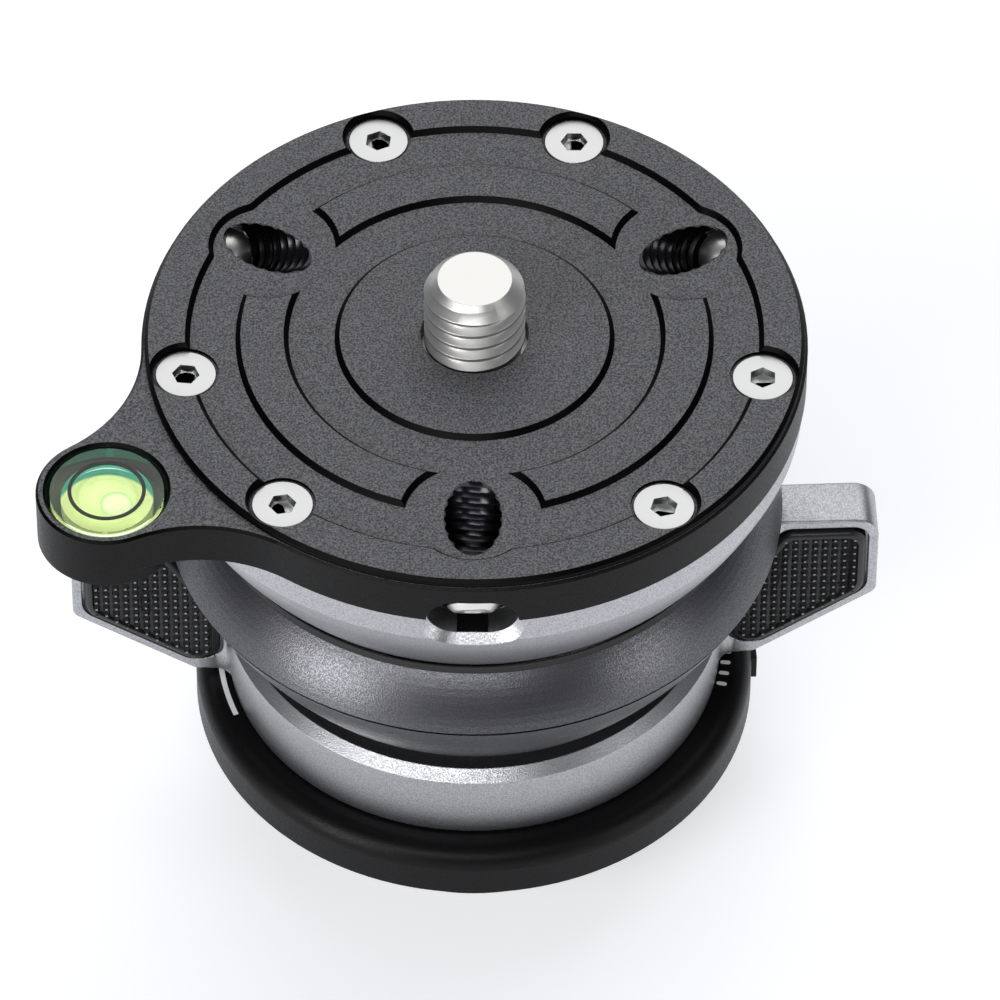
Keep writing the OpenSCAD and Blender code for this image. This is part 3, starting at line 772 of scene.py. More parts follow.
# Zinc plate is a duller, cooler grey.
ZINC = TurnedMetal("zinc_plated_steel", "#b3b4b2", 0.38)
# Black oxide leaves steel a dull dark grey.
DARK_STEEL = TurnedMetal("blackened_steel", "#59595b", 0.45)
# Turned brass is a warm yellow with rather sharp highlights.
BRASS = TurnedMetal("turned_brass", "#c8a761", 0.3)
# Rolled bronze strip is brown-gold and satin.
BRONZE = TurnedMetal("rolled_bronze", "#b58a55", 0.4)
# Moulded rubber is near black and shows its pyramids only by the light on their flanks.
GRIP = MouldedRubber("knurled_grip_rubber", "#111113", 0.36)
# Painted highlight: each pyramid's tip is painted pale where the light catches it, and shows as a pale dot.
TIP_HIGHLIGHTS = MouldedRubber("rubber_tips_painted_highlight", "#909092", 0.3)
# The wiper's soft rubber is matte.
WIPER = MouldedRubber("wiper_rubber", "#141415", 0.6)
# Turned slide plastic is off-white and satin.
SLIDE = PlainPlastic("turned_slide_plastic", "#e7e3da", 0.45)
# Screen-printed inks lie flat and opaque on what is under them.
INK = PlainPlastic("printed_white_ink", "#eeeeee", 0.5)
RING_INK = PlainPlastic("printed_black_ink", "#101010", 0.4)
# The pale disc under the vial throws the light back up through the liquid.
BACKING = PlainPlastic("vial_backing", "#dfe9c4", 0.4)
# Polished acrylic is clear, and shows by its rim's reflections.
ACRYLIC = ClearPiece("polished_acrylic", "#eef5f0", 1.49)
# The fluorescent dye gets a painted glow, and a painted teal crescent stands in for the vial's far wall seen through
# it.
LIQUID = DyedLiquid(
    "yellow_green_alcohol", "#ecfba6", "#3fa286", (-33.9, -21.2, 56.5), painted_rim_from_mm=4.65, painted_rim_to_mm=4.9
)
# The bubble is paler than the liquid, with a painted glow and a painted green outline where its edge refracts the
# light.
AIR = DyedLiquid(
    "air_bubble", "#eef9c0", "#a9dc8e", (-33.0, -20.3, 57.3), painted_rim_from_mm=1.35, painted_rim_to_mm=1.62, glow=0.3
)


@dataclass(frozen=True)
class Softbox:
    """A rectangular soft light, with its place and size in metres and its power in watts."""

    name: str
    place: tuple[float, float, float]
    width: float
    height: float
    watts: float

    def hang(self, aim: Vector) -> None:
        """Hang the light.

        Args:
            aim: The point it shines at, in metres.
        """
        data = bpy.data.lights.new(self.name, "AREA")
        data.shape = "RECTANGLE"
        data.size = self.width
        data.size_y = self.height
        data.energy = self.watts
        lamp = bpy.data.objects.new(self.name, data)
        lamp.location = self.place
        lamp.rotation_mode = "QUATERNION"
        lamp.rotation_quaternion = (aim - Vector(self.place)).to_track_quat("-Z", "Y")
        bpy.context.scene.collection.objects.link(lamp)


@dataclass
class Studio:
    """Camera, soft lights and pale floor."""

    eye_mm: tuple[float, float, float] = (2.47, -574.32, 678.96)
    pitch_deg: float = 41.80
    roll_deg: float = 0.33
    lens: float = 324.0
    sensor: float = 36.0
    near_m: float = 0.01
    far_m: float = 20.0
    floor_m: float = 6.0
    floor_colour: str = "#e4e6ea"
    floor_glow: float = 0.48
    room_colour: str = "#9a9da3"
    room_light: float = 0.3
    aim_m: tuple[float, float, float] = (0.0, 0.0, 0.04)
    softboxes: tuple[Softbox, ...] = (
        Softbox("overhead", (0.1, 0.8, 1.1), width=2.0, height=1.5, watts=13.0),
        Softbox("front_top", (-0.22, -0.95, 0.88), width=1.1, height=0.3, watts=5.2),
        Softbox("left_side", (-0.84, -0.76, 0.34), width=0.5, height=0.6, watts=7.2),
        Softbox("right_side", (0.95, -0.55, 0.3), width=0.4, height=0.6, watts=2.2),
    )

    def camera(self) -> None:
        """Set the camera where the photograph was taken."""
        data = bpy.data.cameras.new("camera")
        data.lens = self.lens
        data.sensor_width = self.sensor
        data.clip_start = self.near_m
        data.clip_end = self.far_m
        camera = bpy.data.objects.new("camera", data)
        camera.location = Vector(self.eye_mm) * MM
        camera.rotation_mode = "QUATERNION"
        camera.rotation_quaternion = Quaternion((1, 0, 0), math.radians(self.pitch_deg)) @ Quaternion(
            (0, 0, 1), math.radians(self.roll_deg)
        )
        bpy.context.scene.collection.objects.link(camera)
        bpy.context.scene.camera = camera

    def white_for(self, tree: bpy.types.NodeTree) -> bpy.types.NodeSocket:
        """Tell the rays that come from the eye, or through gloss and glass.

        Args:
            tree: Node tree that asks.

        Returns:
            A socket that is one for these rays.
        """
        path = add_node(tree, "ShaderNodeLightPath")
        seen = path.outputs["Is Camera Ray"]
        for kind in ("Is Glossy Ray", "Is Transmission Ray"):
            seen = add_node(tree, "ShaderNodeMath", {0: seen, 1: path.outputs[kind]}, operation="MAXIMUM").outputs[0]
        return seen

    def floor(self) -> None:
        """Lay a pale floor that keeps the object's shadow."""
        bpy.ops.mesh.primitive_plane_add(size=self.floor_m)
        obj = bpy.context.object
        obj.name = "floor"
        material, tree = new_material("pale_floor")
        matte = add_node(tree, "ShaderNodeBsdfDiffuse", {"Color": linear(self.floor_colour)})
        glow = add_node(tree, "ShaderNodeEmission", {"Color": linear("#ffffff"), "Strength": self.floor_glow})
        both = add_node(tree, "ShaderNodeAddShader", {0: matte.outputs[0], 1: glow.outputs[0]})
        mix = add_node(
            tree,
            "ShaderNodeMixShader",
            {0: self.white_for(tree), 1: matte.outputs[0], 2: both.outputs[0]},
        )
        add_node(tree, "ShaderNodeOutputMaterial", {"Surface": mix.outputs[0]})
        dress(obj, material)

    def world(self) -> None:
        """Fill the room with a low even light."""
        world = bpy.data.worlds.new("room")
        world.use_nodes = True
        tree = world.node_tree
        tree.nodes.clear()
        dim = add_node(
            tree, "ShaderNodeBackground", {"Color": linear(self.room_colour), "Strength": self.room_light}
        )
        add_node(tree, "ShaderNodeOutputWorld", {"Surface": dim.outputs[0]})
        bpy.context.scene.world = world

    def build(self) -> None:
        """Set up the whole studio."""
        bpy.context.scene.view_settings.view_transform = "Standard"
        self.camera()
        for softbox in self.softboxes:
            softbox.hang(Vector(self.aim_m))
        self.floor()
        self.world()
        log.info("studio ready")


@dataclass
class Foot:
    """Flange, cup and what stands still with them."""

    nodes: dict[str, bpy.types.Object]
    deck_mm: float = 15.6
    round_start_mm: float = 25.1
    round_mm: float = 2.0
    ink_mm: float = 0.02
    arc_r_mm: float = 24.75
    arc_w_mm: float = 0.5
    arc_from_deg: float = 184.0
    arc_to_deg: float = 202.0
    arc_steps: int = 24
    tick_from_deg: float = -2.0
    tick_step_deg: float = -3.2
    tick_count: int = 4
    tick_w_mm: float = 0.45
    tick_long_mm: float = 1.0
    tick_blunt: float = 2.2

    def surface(self, radius: float) -> float:
        """Height of the flange's top at a radius, in mm."""
        out = max(0.0, radius - self.round_start_mm)
        return self.deck_mm - self.round_mm + math.sqrt(self.round_mm**2 - out**2)

    def printed_arc(self) -> bpy.types.Object:
        """Print the white arc that shows the way to turn.

        Returns:
            The arc as a thin solid.
        """
        inner = self.arc_r_mm - self.arc_w_mm / 2
        outer = self.arc_r_mm + self.arc_w_mm / 2
        lean = math.atan2(self.surface(outer) - self.surface(inner), self.arc_w_mm)
        bpy.ops.mesh.primitive_plane_add(size=MM, rotation=(math.pi / 2, 0, 0))
        obj = Bench.settle(bpy.context.object, "turn_arc")
        middle = Vector((self.arc_r_mm * MM, 0, (self.surface(inner) + self.surface(outer)) / 2 * MM))
        with Bench.editing(obj):
            bpy.ops.mesh.select_all(action="SELECT")
            bpy.ops.transform.resize(value=(self.arc_w_mm, 1, 2 * self.ink_mm), center_override=(0, 0, 0))
            bpy.ops.transform.translate(value=middle)
            for vert in bmesh.from_edit_mesh(obj.data).verts:
                vert.co.z += (vert.co.x - middle.x) * math.tan(lean)
            bpy.ops.mesh.spin(
                steps=self.arc_steps,
                angle=math.radians(self.arc_to_deg - self.arc_from_deg),
                center=(0, 0, 0),
                axis=(0, 0, 1),
            )
        Bench.tidy(obj)
        return Bench.settle(obj, "turn_arc", about_z(self.arc_to_deg))

    def ticks(self) -> bpy.types.Object:
        """Print the row of short ticks beside the right wing.

        Returns:
            The ticks as thin solids.
        """
        z = self.surface(self.round_start_mm)
        bpy.ops.mesh.primitive_cube_add(size=MM)
        first = Bench.settle(bpy.context.object, "lock_ticks")
        with Bench.editing(first, "EDGE") as mesh:
            bpy.ops.mesh.select_all(action="SELECT")
            bpy.ops.transform.resize(
                value=(self.tick_long_mm, self.tick_w_mm, 2 * self.ink_mm), center_override=(0, 0, 0)
            )
            bpy.ops.transform.translate(
                value=((self.round_start_mm - self.tick_long_mm / 2) * MM, 0, z * MM)
            )
            Bench.select(first, mesh.edges, lambda e: abs(e.verts[0].co.z - e.verts[1].co.z) > self.ink_mm * MM)
            bpy.ops.mesh.bevel(offset=self.tick_w_mm / self.tick_blunt * MM, segments=4)
        copies = [
            Bench.repeat(first, f"tick_{i}", about_z(self.tick_from_deg + i * self.tick_step_deg))
            for i in range(self.tick_count)
        ]
        bpy.data.objects.remove(first)
        return Bench.join("lock_ticks", copies)

    def build(self) -> None:
        """Dress the still pieces and print the marks."""
        black, dark_reflection, zinc, slide = BLACK.make(), SILVER_PAINTED_DARK.make(), ZINC.make(), SLIDE.make()
        for name in ("base_body", "bearing_ring"):
            dress(self.nodes[name], black)
        # The cup and collar get the darker grey as a painted reflection.
        for name in ("cup", "cup_collar"):
            dress(self.nodes[name], dark_reflection)
        for name in ("cup_screws", "stop_pin"):
            dress(self.nodes[name], zinc)
        for name in ("thrust_washer", "seat_ring"):
            dress(self.nodes[name], slide)
        dress(self.nodes["wiper_ring"], WIPER.make())
        dress(self.nodes["thread_insert"], STAINLESS.make())
        ink = INK.make()
        for piece in (self.printed_arc(), self.ticks()):
            dress(piece, ink)
            hand_over(piece, Body.BASE, "silver_anodised")


@dataclass
class Lever:
    """Ring with two wings and their knurled rubber grips."""

    nodes: dict[str, bpy.types.Object]
    rest_deg: float = 2.8
    ring_r_mm: float = 24.24
    wing_t_mm: float = 5.1
    reach_mm: float = 38.8
    top_z_mm: float = 34.75
    end_z_mm: float = 24.55
    slope_deg: float = 36.0
    inner_x_mm: float = 29.07
    inner_lean_deg: float = 59.5
    edge_mm: float = 0.28
    edge_steps: int = 4
    flat_from: float = 0.99
    side_to: float = 0.05
    root_mm: float = 2.2
    pad_proud_mm: float = 0.5
    pad_frame_mm: float = 1.2
    field_from_mm2: float = 20.0
    rim_mm: float = 0.55
    rim_flat: float = 0.7
    rim_drop_mm: float = 0.28
    knurl_mm: float = 0.95
    knurl_h_mm: float = 0.34
    knurl_gap_mm: float = 0.14
    knurl_tip_mm: float = 0.22
    knurl_back_mm: float = 0.05
    pad_left_mm: float = 24.69
    pad_foot_mm: float = 17.9

    def ring(self) -> bpy.types.Object:
        """Round the long edges of the winged ring.

        Returns:
            The rounded ring.
        """
        obj = Bench.from_cad("lever_ring_rounded", self.nodes["lever_ring"])
        turn = about_z(-self.rest_deg)
        centre = Vector(((self.ring_r_mm + self.reach_mm) / 2, 0, (self.top_z_mm + self.end_z_mm) / 2)) * MM

        def on_outline(edge: bmesh.types.BMEdge) -> bool:
            """Tell the edges where a wing's flat face meets its outer side.

            Args:
                edge: An edge of the merged mesh.

            Returns:
                True on the outline of a wing, away from the ring.
            """
            if len(edge.link_faces) != 2:
                return False
            middle = turn @ ((edge.verts[0].co + edge.verts[1].co) / 2)
            away = Vector((middle.x - math.copysign(centre.x, middle.x), 0, middle.z - centre.z))
            normals = [turn @ face.normal for face in edge.link_faces]
            flat = [n for n in normals if abs(n.y) > self.flat_from]
            side = [n for n in normals if abs(n.y) < self.side_to]
            on_wing = math.hypot(middle.x, middle.y) > (self.ring_r_mm + self.root_mm) * MM
            return on_wing and bool(flat and side) and side[0].dot(away) > 0

        with Bench.editing(obj, "EDGE") as mesh:
            Bench.select(obj, mesh.edges, on_outline)
            bpy.ops.mesh.bevel(offset=self.edge_mm * MM, segments=self.edge_steps)
        Bench.tidy(obj, angle=32)
        return obj

    def field_sides(self, inset: float) -> list[tuple[Vector, Vector]]:
        """Give the sides of the knurled field in the wing's own plane.

        Args:
            inset: Distance in mm from the wing's outline to the field.

        Returns:
            A point and an outward direction for each side, in mm.
        """
        slope, lean = math.radians(self.slope_deg), math.radians(self.inner_lean_deg)
        extra = inset - self.pad_frame_mm
        under = Vector((math.sin(slope), -math.cos(slope), 0))
        inner = Vector((-math.sin(lean), math.cos(lean), 0))
        return [
            (Vector((self.reach_mm - inset, 0, 0)), Vector((1, 0, 0))),
            (Vector((0, self.top_z_mm - inset, 0)), Vector((0, 1, 0))),
            (Vector((self.pad_left_mm + extra, 0, 0)), Vector((-1, 0, 0))),
            (Vector((0, self.pad_foot_mm + extra, 0)), Vector((0, -1, 0))),
            (Vector((self.reach_mm, self.end_z_mm, 0)) - under * inset, under),
            (Vector((self.inner_x_mm, self.top_z_mm, 0)) - inner * inset, inner),
        ]

    def knurl(self, rubber: bpy.types.Material, tips: bpy.types.Material) -> bpy.types.Object:
        """Mould the field of small blunt pyramids that each grip gets a copy of.

        Args:
            rubber: Finish of the field.
            tips: Pale painted highlight on the pyramids' tips.

        Returns:
            The field as a thin closed solid, lying on the ground plane.
        """
        wide = self.reach_mm - self.pad_left_mm
        tall = self.top_z_mm - self.pad_foot_mm
        across, up = math.ceil(wide / self.knurl_mm), math.ceil(tall / self.knurl_mm)
        bpy.ops.mesh.primitive_grid_add(x_subdivisions=across, y_subdivisions=up, size=MM)
        obj = Bench.settle(bpy.context.object, "knurl")
        middle = Vector((self.pad_left_mm + wide / 2, self.pad_foot_mm + tall / 2, 0)) * MM
        for finish in (rubber, tips):
            obj.data.materials.append(finish)
        with Bench.editing(obj, "FACE"):
            bpy.ops.mesh.select_all(action="SELECT")
            bpy.ops.transform.resize(
                value=(across * self.knurl_mm, up * self.knurl_mm, 1), center_override=(0, 0, 0)
            )
            bpy.ops.transform.translate(value=middle)
            bpy.ops.mesh.inset(thickness=self.knurl_gap_mm * MM, use_individual=True)
            bpy.ops.mesh.inset(
                thickness=((self.knurl_mm - self.knurl_tip_mm) / 2 - self.knurl_gap_mm) * MM,
                depth=self.knurl_h_mm * MM,
                use_individual=True,
            )
            # The tips get the pale painted highlight.
            obj.active_material_index = 1
            bpy.ops.object.material_slot_assign()
        for point, outward in self.field_sides(self.pad_frame_mm + self.rim_mm):
            Bench.trim(obj, point * MM, outward, fill=False)
        Bench.apply(obj, "SOLIDIFY", thickness=self.knurl_back_mm * MM, offset=-1)
        return obj

    def place(self, side: Side, face: Face) -> Matrix:
        """Give the way from the ground plane to a face of a wing.

        Args:
            side: The wing.
            face: The face of the wing.

        Returns:
            The matrix that stands the knurled field up in its grip.
        """
        lift = self.wing_t_mm / 2 + self.pad_proud_mm - self.rim_drop_mm
        return (
            about_z(self.rest_deg + side.value)
            @ Matrix.Diagonal((1, face.value, 1, 1))
            @ Matrix.Translation((0, -lift * MM, 0))
            @ Matrix.Rotation(math.pi / 2, 4, "X")
        )

    def pad(
        self, node: str, side: Side, face: Face, rubber: bpy.types.Material, knurled: bpy.types.Object
    ) -> bpy.types.Object:
        """Mould one grip with a rounded rim round its knurled field.

        Args:
            node: CAD node of the grip.
            side: The wing.
            face: The face of the wing.
            rubber: Finish of the grip.
            knurled: The knurled field to copy.

        Returns:
            The grip.
        """
        obj = Bench.from_cad(node + "_knurled", self.nodes[node])
        outward = about_z(self.rest_deg + side.value) @ Vector((0, -face.value, 0))
        least = self.field_from_mm2 * MM**2
        with Bench.editing(obj, "FACE") as mesh:
            Bench.select(
                obj, mesh.faces, lambda f: f.normal.dot(outward) > self.flat_from and f.calc_area() > least
            )
            bpy.ops.mesh.inset(thickness=self.rim_mm * self.rim_flat * MM)
            bpy.ops.mesh.inset(thickness=self.rim_mm * (1 - self.rim_flat) * MM, depth=-self.rim_drop_mm * MM)
        Bench.tidy(obj, angle=50)
        dress(obj, rubber)
        copy = Bench.repeat(knurled, "knurl_copy", self.place(side, face))
        Bench.tidy(copy, angle=20)
        return Bench.join(node + "_knurled", [obj, copy])

    def build(self) -> None:
        """Build the ring and its four grips."""
        ring = self.ring()
        dress(ring, SILVER.make())
        hand_over(ring, Body.LEVER, "silver_anodised", "lever_ring")
        rubber = GRIP.make()
        knurled = self.knurl(rubber, TIP_HIGHLIGHTS.make())
        for node, side, face in (
            ("pad_right_front", Side.RIGHT, Face.NEAR),
            ("pad_right_back", Side.RIGHT, Face.FAR),
            ("pad_left_front", Side.LEFT, Face.FAR),
            ("pad_left_back", Side.LEFT, Face.NEAR),
        ):
            hand_over(self.pad(node, side, face, rubber, knurled), Body.LEVER, "grip_rubber", node)
        bpy.data.objects.remove(knurled)


@dataclass
class Clamp:
    """Collar, bolt and springs inside, which pull the ball down."""

    nodes: dict[str, bpy.types.Object]

    def build(self) -> None:
        """Dress the hidden pieces."""
        zinc = ZINC.make()
        for name in ("cross_pin", "draw_bolt", "disc_springs", "draw_washer", "draw_nut"):
            dress(self.nodes[name], zinc)
        dress(self.nodes["draw_collar"], BRASS.make())
        dress(self.nodes["shoe"], SILVER.make())
        dress(self.nodes["slip_washer"], BRONZE.make())


@dataclass
class Stud:
    """The threaded stud in the middle of the platform."""

    radius_mm: float = 4.7625
    pitch_mm: float = 1.5875
    depth_mm: float = 0.86
    crest: float = 0.2
    land_mm: float = 60.0
    tall_mm: float = 7.5
    chamfer_mm: float = 1.3
    tail_mm: float = 55.2
    flange_low_mm: float = 56.3
    flange_high_mm: float = 57.9
    flange_r_mm: float = 7.5
    relief_mm: float = 0.4
    sink_mm: float = 0.6
    spare_mm: float = 0.01
    overlap_mm: float = 0.05

    def build(self) -> None:
        """Build the stud and hand it over."""
        foot = self.land_mm - self.sink_mm
        turns = math.ceil((self.tall_mm + self.sink_mm) / self.pitch_mm) + 1
        thread = Bench.thread("stud_threaded", self.radius_mm, self.depth_mm, self.pitch_mm, turns, self.crest)
        Bench.settle(thread, thread.name, Matrix.Translation((0, 0, foot * MM)))
        shape = Bench.rod("shape", self.radius_mm + self.spare_mm, foot, self.land_mm + self.tall_mm)
        with Bench.editing(shape, "FACE") as mesh:
            Bench.select(shape, mesh.faces, lambda f: f.normal.z > FACING)
            bpy.ops.mesh.bevel(offset=self.chamfer_mm * MM, segments=1)
        Bench.cut(thread, shape, Cut.KEEP_COMMON)
        Bench.tidy(thread, angle=25)
        parts = [
            thread,
            Bench.rod("neck", self.radius_mm - self.relief_mm, self.flange_high_mm, foot + self.overlap_mm),
            Bench.rod("flange", self.flange_r_mm, self.flange_low_mm, self.flange_high_mm),
            Bench.rod("tail", self.radius_mm, self.tail_mm, self.flange_low_mm),
        ]
        for part in parts[1:]:
            Bench.tidy(part)
        stud = Bench.join("stud_threaded", parts)
        dress(stud, STAINLESS.make())
        hand_over(stud, Body.HEAD, "stainless", "stud")


@dataclass
class PlateScrews:
    """Six countersunk screws with hex sockets."""

    radius_mm: float = 1.5
    head_r_mm: float = 2.85
    rim_mm: float = 0.2
    top_mm: float = 59.35
    long_mm: float = 8.0
    at_r_mm: float = 27.4
    at_deg: tuple[float, ...] = (70, 110, 190, 230, 310, 350)
    socket_mm: float = 1.12
    socket_d_mm: float = 0.95
    drill_wide: float = 0.95
    drill_deep: float = 0.6
    edge_mm: float = 0.1
    turned_deg: tuple[float, ...] = (20, 5, 14, 50, 35, 8)

    def first(self) -> bpy.types.Object:
        """Turn one screw on the axis.

        Returns:
            The screw, with its head's flat at the ground plane.
        """
        obj = Bench.rod("screw", self.head_r_mm, -self.rim_mm, 0, sides=48)
        cone = self.head_r_mm - self.radius_mm
        with Bench.editing(obj, "FACE") as mesh:
            Bench.select(obj, mesh.faces, lambda f: f.normal.z < -FACING)
            for shrink, drop in ((self.radius_mm / self.head_r_mm, cone), (1.0, self.long_mm - self.rim_mm - cone)):
                bpy.ops.mesh.extrude_region_move(TRANSFORM_OT_translate={"value": (0, 0, -drop * MM)})
                bpy.ops.transform.resize(value=(shrink, shrink, 1), center_override=(0, 0, 0))
        with Bench.editing(obj, "FACE") as mesh:
            Bench.select(obj, mesh.faces, lambda f: f.normal.z > FACING)
            bpy.ops.mesh.bevel(offset=self.edge_mm * MM, segments=3)
        Bench.cut(obj, Bench.hex_key(self.socket_mm, self.socket_d_mm), Cut.TAKE_AWAY)
        bpy.ops.mesh.primitive_cone_add(
            vertices=24,
            radius1=self.socket_mm * self.drill_wide * MM,
            radius2=0,
            depth=self.socket_mm * self.drill_deep * MM,
            rotation=(math.pi, 0, 0),
            location=(0, 0, -(self.socket_d_mm + self.socket_mm * self.drill_deep / 2) * MM),
        )
        Bench.cut(obj, Bench.settle(bpy.context.object, "drill"), Cut.TAKE_AWAY)
        Bench.tidy(obj, angle=25)
        return obj

    def build(self) -> None:
        """Build the six screws and hand them over."""
        first = self.first()
        copies = [
            Bench.repeat(
                first,
                f"screw_{i}",
                about_z(at) @ Matrix.Translation((self.at_r_mm * MM, 0, self.top_mm * MM)) @ about_z(turned),
            )
            for i, (at, turned) in enumerate(zip(self.at_deg, self.turned_deg))
        ]
        bpy.data.objects.remove(first)
        piece = Bench.join("plate_screws_hex", copies)
        dress(piece, NICKEL.make())
        hand_over(piece, Body.HEAD, "screw_steel", "plate_screws")


@dataclass
class GrubScrews:
    """Three ball-tipped grub screws and the threads of their holes."""

    nodes: dict[str, bpy.types.Object]
    radius_mm: float = 2.5
    hole_r_mm: float = 2.7
    pitch_mm: float = 1.0
    depth_mm: float = 0.4
    crest: float = 0.25
    tap_crest: float = 0.12
    at_r_mm: float = 22.7
    slope_deg: float = 36.0
    recess_mm: float = 59.52
    back_mm: float = 3.5
    long_mm: float = 5.2
    pocket_r_mm: float = 27.0
    socket_mm: float = 1.25
    socket_d_mm: float = 2.0
    liner_in_mm: float = 2.52
    liner_out_mm: float = 0.06
    plate_foot_mm: float = 54.75
    under_recess_mm: float = 0.01
    under_pocket_mm: float = 0.05

    def axis(self) -> Matrix:
        """Give the place of the front grub screw.

        Returns:
            The matrix with +Z the way it is driven and zero at the recess.
        """
        return (
            about_z(GRUB_DEG["front"])
            @ Matrix.Translation((self.at_r_mm * MM, 0, self.recess_mm * MM))
            @ Matrix.Rotation(math.radians(self.slope_deg - 90), 4, "Y")
        )

    def screw(self) -> bpy.types.Object:
        """Cut the thread and socket into the front screw's CAD shape.

        Returns:
            The threaded screw, in the front hole.
        """
        turns = math.ceil(self.long_mm / self.pitch_mm) + 1
        rod = Bench.thread("first_grub", self.radius_mm, self.depth_mm, self.pitch_mm, turns, self.crest)
        low_end = self.axis() @ Matrix.Translation((0, 0, -(self.back_mm + self.long_mm) * MM))
        Bench.settle(rod, rod.name, low_end)
        Bench.cut(rod, Bench.from_cad("envelope", self.nodes["grub_front"]), Cut.KEEP_COMMON)
        Bench.cut(rod, Bench.hex_key(self.socket_mm, self.socket_d_mm, low_end), Cut.TAKE_AWAY)
        Bench.tidy(rod, angle=25)
        return rod

    def liner(self) -> bpy.types.Object:
        """Line the front hole with the thread that is tapped in it.

        Returns:
            The lining, cut off level with the recess and the side pocket.
        """
        low, high = -self.back_mm - 2 * self.long_mm, 2 * self.long_mm
        tube = Bench.rod("first_liner", self.hole_r_mm + self.liner_out_mm, low, high)
        Bench.settle(tube, tube.name, self.axis())
        out = about_z(GRUB_DEG["front"]) @ Vector((1, 0, 0))
        Bench.trim(tube, Vector((0, 0, (self.recess_mm - self.under_recess_mm) * MM)), Vector((0, 0, 1)))
        Bench.trim(tube, Vector((0, 0, self.plate_foot_mm * MM)), Vector((0, 0, -1)))
        Bench.trim(tube, out * (self.pocket_r_mm - self.under_pocket_mm) * MM, out)
        turns = math.ceil((high - low) / self.pitch_mm) + 2
        deep = self.hole_r_mm - self.liner_in_mm
        tap = Bench.thread("tap", self.hole_r_mm, deep, self.pitch_mm, turns, self.tap_crest)
        Bench.settle(tap, tap.name, self.axis() @ Matrix.Translation((0, 0, (low - self.pitch_mm / 2) * MM)))
        Bench.cut(tube, tap, Cut.TAKE_AWAY)
        Bench.tidy(tube, angle=25)
        return tube

    def build(self) -> None:
        """Build one screw and one lining, and copy them round to the three holes."""
        first_screw, first_liner = self.screw(), self.liner()
        dress(first_screw, STAINLESS.make())
        dress(first_liner, TAPPED.make())
        bodies = {"front": Body.FRONT_GRUB, "right": Body.RIGHT_GRUB, "left": Body.LEFT_GRUB}
        for word, at_deg in GRUB_DEG.items():
            turn = about_z(at_deg - GRUB_DEG["front"])
            screw = Bench.repeat(first_screw, f"grub_{word}_threaded", turn)
            hand_over(screw, bodies[word], "stainless", "grub_" + word)
            liner = Bench.repeat(first_liner, word + "_hole_thread", turn)
            hand_over(liner, Body.HEAD, "platform_anodised")
        for first in (first_screw, first_liner):
            bpy.data.objects.remove(first)


@dataclass
class Vial:
    """The round bubble vial in the platform's lobe."""

    nodes: dict[str, bpy.types.Object]

    def build(self) -> None:
        """Dress the vial's pieces."""
        dress(self.nodes["vial_base"], BACKING.make())
        dress(self.nodes["vial_body"], ACRYLIC.make())
        dress(self.nodes["vial_liquid"], LIQUID.make())
        dress(self.nodes["vial_bubble"], AIR.make())
        dress(self.nodes["vial_mark"], RING_INK.make())


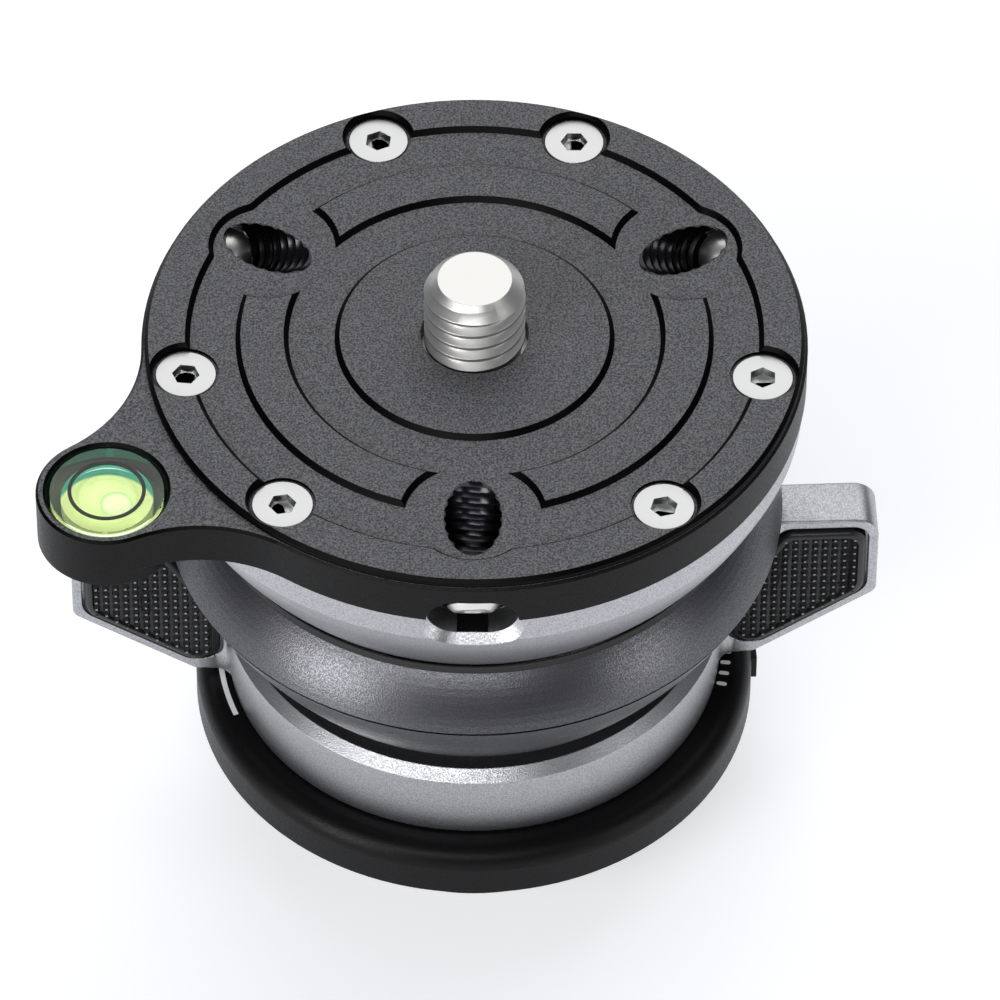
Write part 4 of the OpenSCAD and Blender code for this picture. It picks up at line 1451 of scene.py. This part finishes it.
@dataclass
class Plate:
    """The platform, with its chamfered outer edge, and painted shade on its walls and on the grooves and chamfer that
    frame its blasted faces.
    """

    nodes: dict[str, bpy.types.Object]
    lobe_top_mm: float = 59.2
    radius_mm: float = 31.3
    chamfer_mm: float = 0.25
    near_mm: float = 0.02
    upright_to: float = 0.1
    flat_from: float = 0.95

    def on_edge(self, edge: bmesh.types.BMEdge) -> bool:
        """Tell the upper outer edges of the platform and its lobe.

        Args:
            edge: An edge of the merged mesh.

        Returns:
            True where an outer wall ends at the height of the lobe's top.
        """
        level = self.lobe_top_mm * MM
        if any(abs(v.co.z - level) > self.near_mm * MM for v in edge.verts) or len(edge.link_faces) != 2:
            return False
        wall, top = sorted(edge.link_faces, key=lambda face: face.normal.z)
        upright = abs(wall.normal.z) < self.upright_to
        return upright and top.normal.z > FACING and wall.calc_center_median().z < level

    def skin(self, face: bpy.types.MeshPolygon) -> Skin:
        """Tell which copy of the platform's finish a face gets.

        Args:
            face: A face of the finished platform.

        Returns:
            The grey copy where it faces up, the black painted shade in the grooves and on the lobe's chamfer, else
            the walls' painted shade.
        """
        if face.normal.z >= self.flat_from:
            return Skin.BLASTED
        if face.center.z > self.lobe_top_mm * MM:
            return Skin.GROOVE_SHADE
        chamfered = face.center.z > (self.lobe_top_mm - self.chamfer_mm) * MM
        on_lobe = math.hypot(face.center.x, face.center.y) >= self.radius_mm * MM
        return Skin.GROOVE_SHADE if chamfered and on_lobe else Skin.WALL_SHADE

    def build(self) -> None:
        """Chamfer the outer edge, dress the platform and hand it over."""
        obj = Bench.from_cad("top_plate_chamfered", self.nodes["top_plate"])
        with Bench.editing(obj, "EDGE") as mesh:
            Bench.select(obj, mesh.edges, self.on_edge)
            bpy.ops.mesh.bevel(offset=self.chamfer_mm * MM, segments=1)
        Bench.tidy(obj, angle=25)
        dress(obj, PLATFORM.make())
        # The walls and the grooves get their painted shade in the second and third slots.
        for finish in (PAINTED_SHADE_WALLS, PAINTED_SHADE_GROOVES):
            obj.data.materials.append(finish.make())
        for face in obj.data.polygons:
            face.material_index = self.skin(face).value
        hand_over(obj, Body.HEAD, "platform_anodised", "top_plate")


@dataclass
class Head:
    """Half ball and platform with all that moves with them."""

    nodes: dict[str, bpy.types.Object]
    stud: Stud = field(default_factory=Stud)
    screws: PlateScrews = field(default_factory=PlateScrews)
    pocket_z_mm: float = 54.5
    pocket_half_w_mm: float = 4.33
    pocket_half_h_mm: float = 2.88

    def ball(self) -> None:
        """Dress the half ball, with painted shade on the walls of its three side pockets."""
        node = self.nodes["ball"]
        dress(node, SILVER.make())
        # The pockets' walls are painted near black as painted shade.
        node.data.materials.append(PAINTED_SHADE_WALLS.make())
        for at_deg in GRUB_DEG.values():
            turn = about_z(-at_deg)
            for face in node.data.polygons:
                spot = turn @ face.center / MM
                across = spot.y / self.pocket_half_w_mm
                up = (spot.z - self.pocket_z_mm) / self.pocket_half_h_mm
                if spot.x > 0 and across**2 + up**2 <= 1:
                    face.material_index = 1

    def build(self) -> None:
        """Dress the ball and the platform and build what they carry."""
        self.ball()
        Plate(self.nodes).build()
        dress(self.nodes["stud_nut"], DARK_STEEL.make())
        self.stud.build()
        self.screws.build()


def main() -> None:
    """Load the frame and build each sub-assembly."""
    logging.basicConfig(level=logging.INFO, format="%(message)s")
    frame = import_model()
    bpy.ops.object.select_all(action="DESELECT")
    nodes = frame["nodes"]
    for part in (
        Studio(),
        Foot(nodes),
        Lever(nodes),
        Clamp(nodes),
        Head(nodes),
        GrubScrews(nodes),
        Vial(nodes),
    ):
        part.build()


if __name__ == "__main__":
    main()
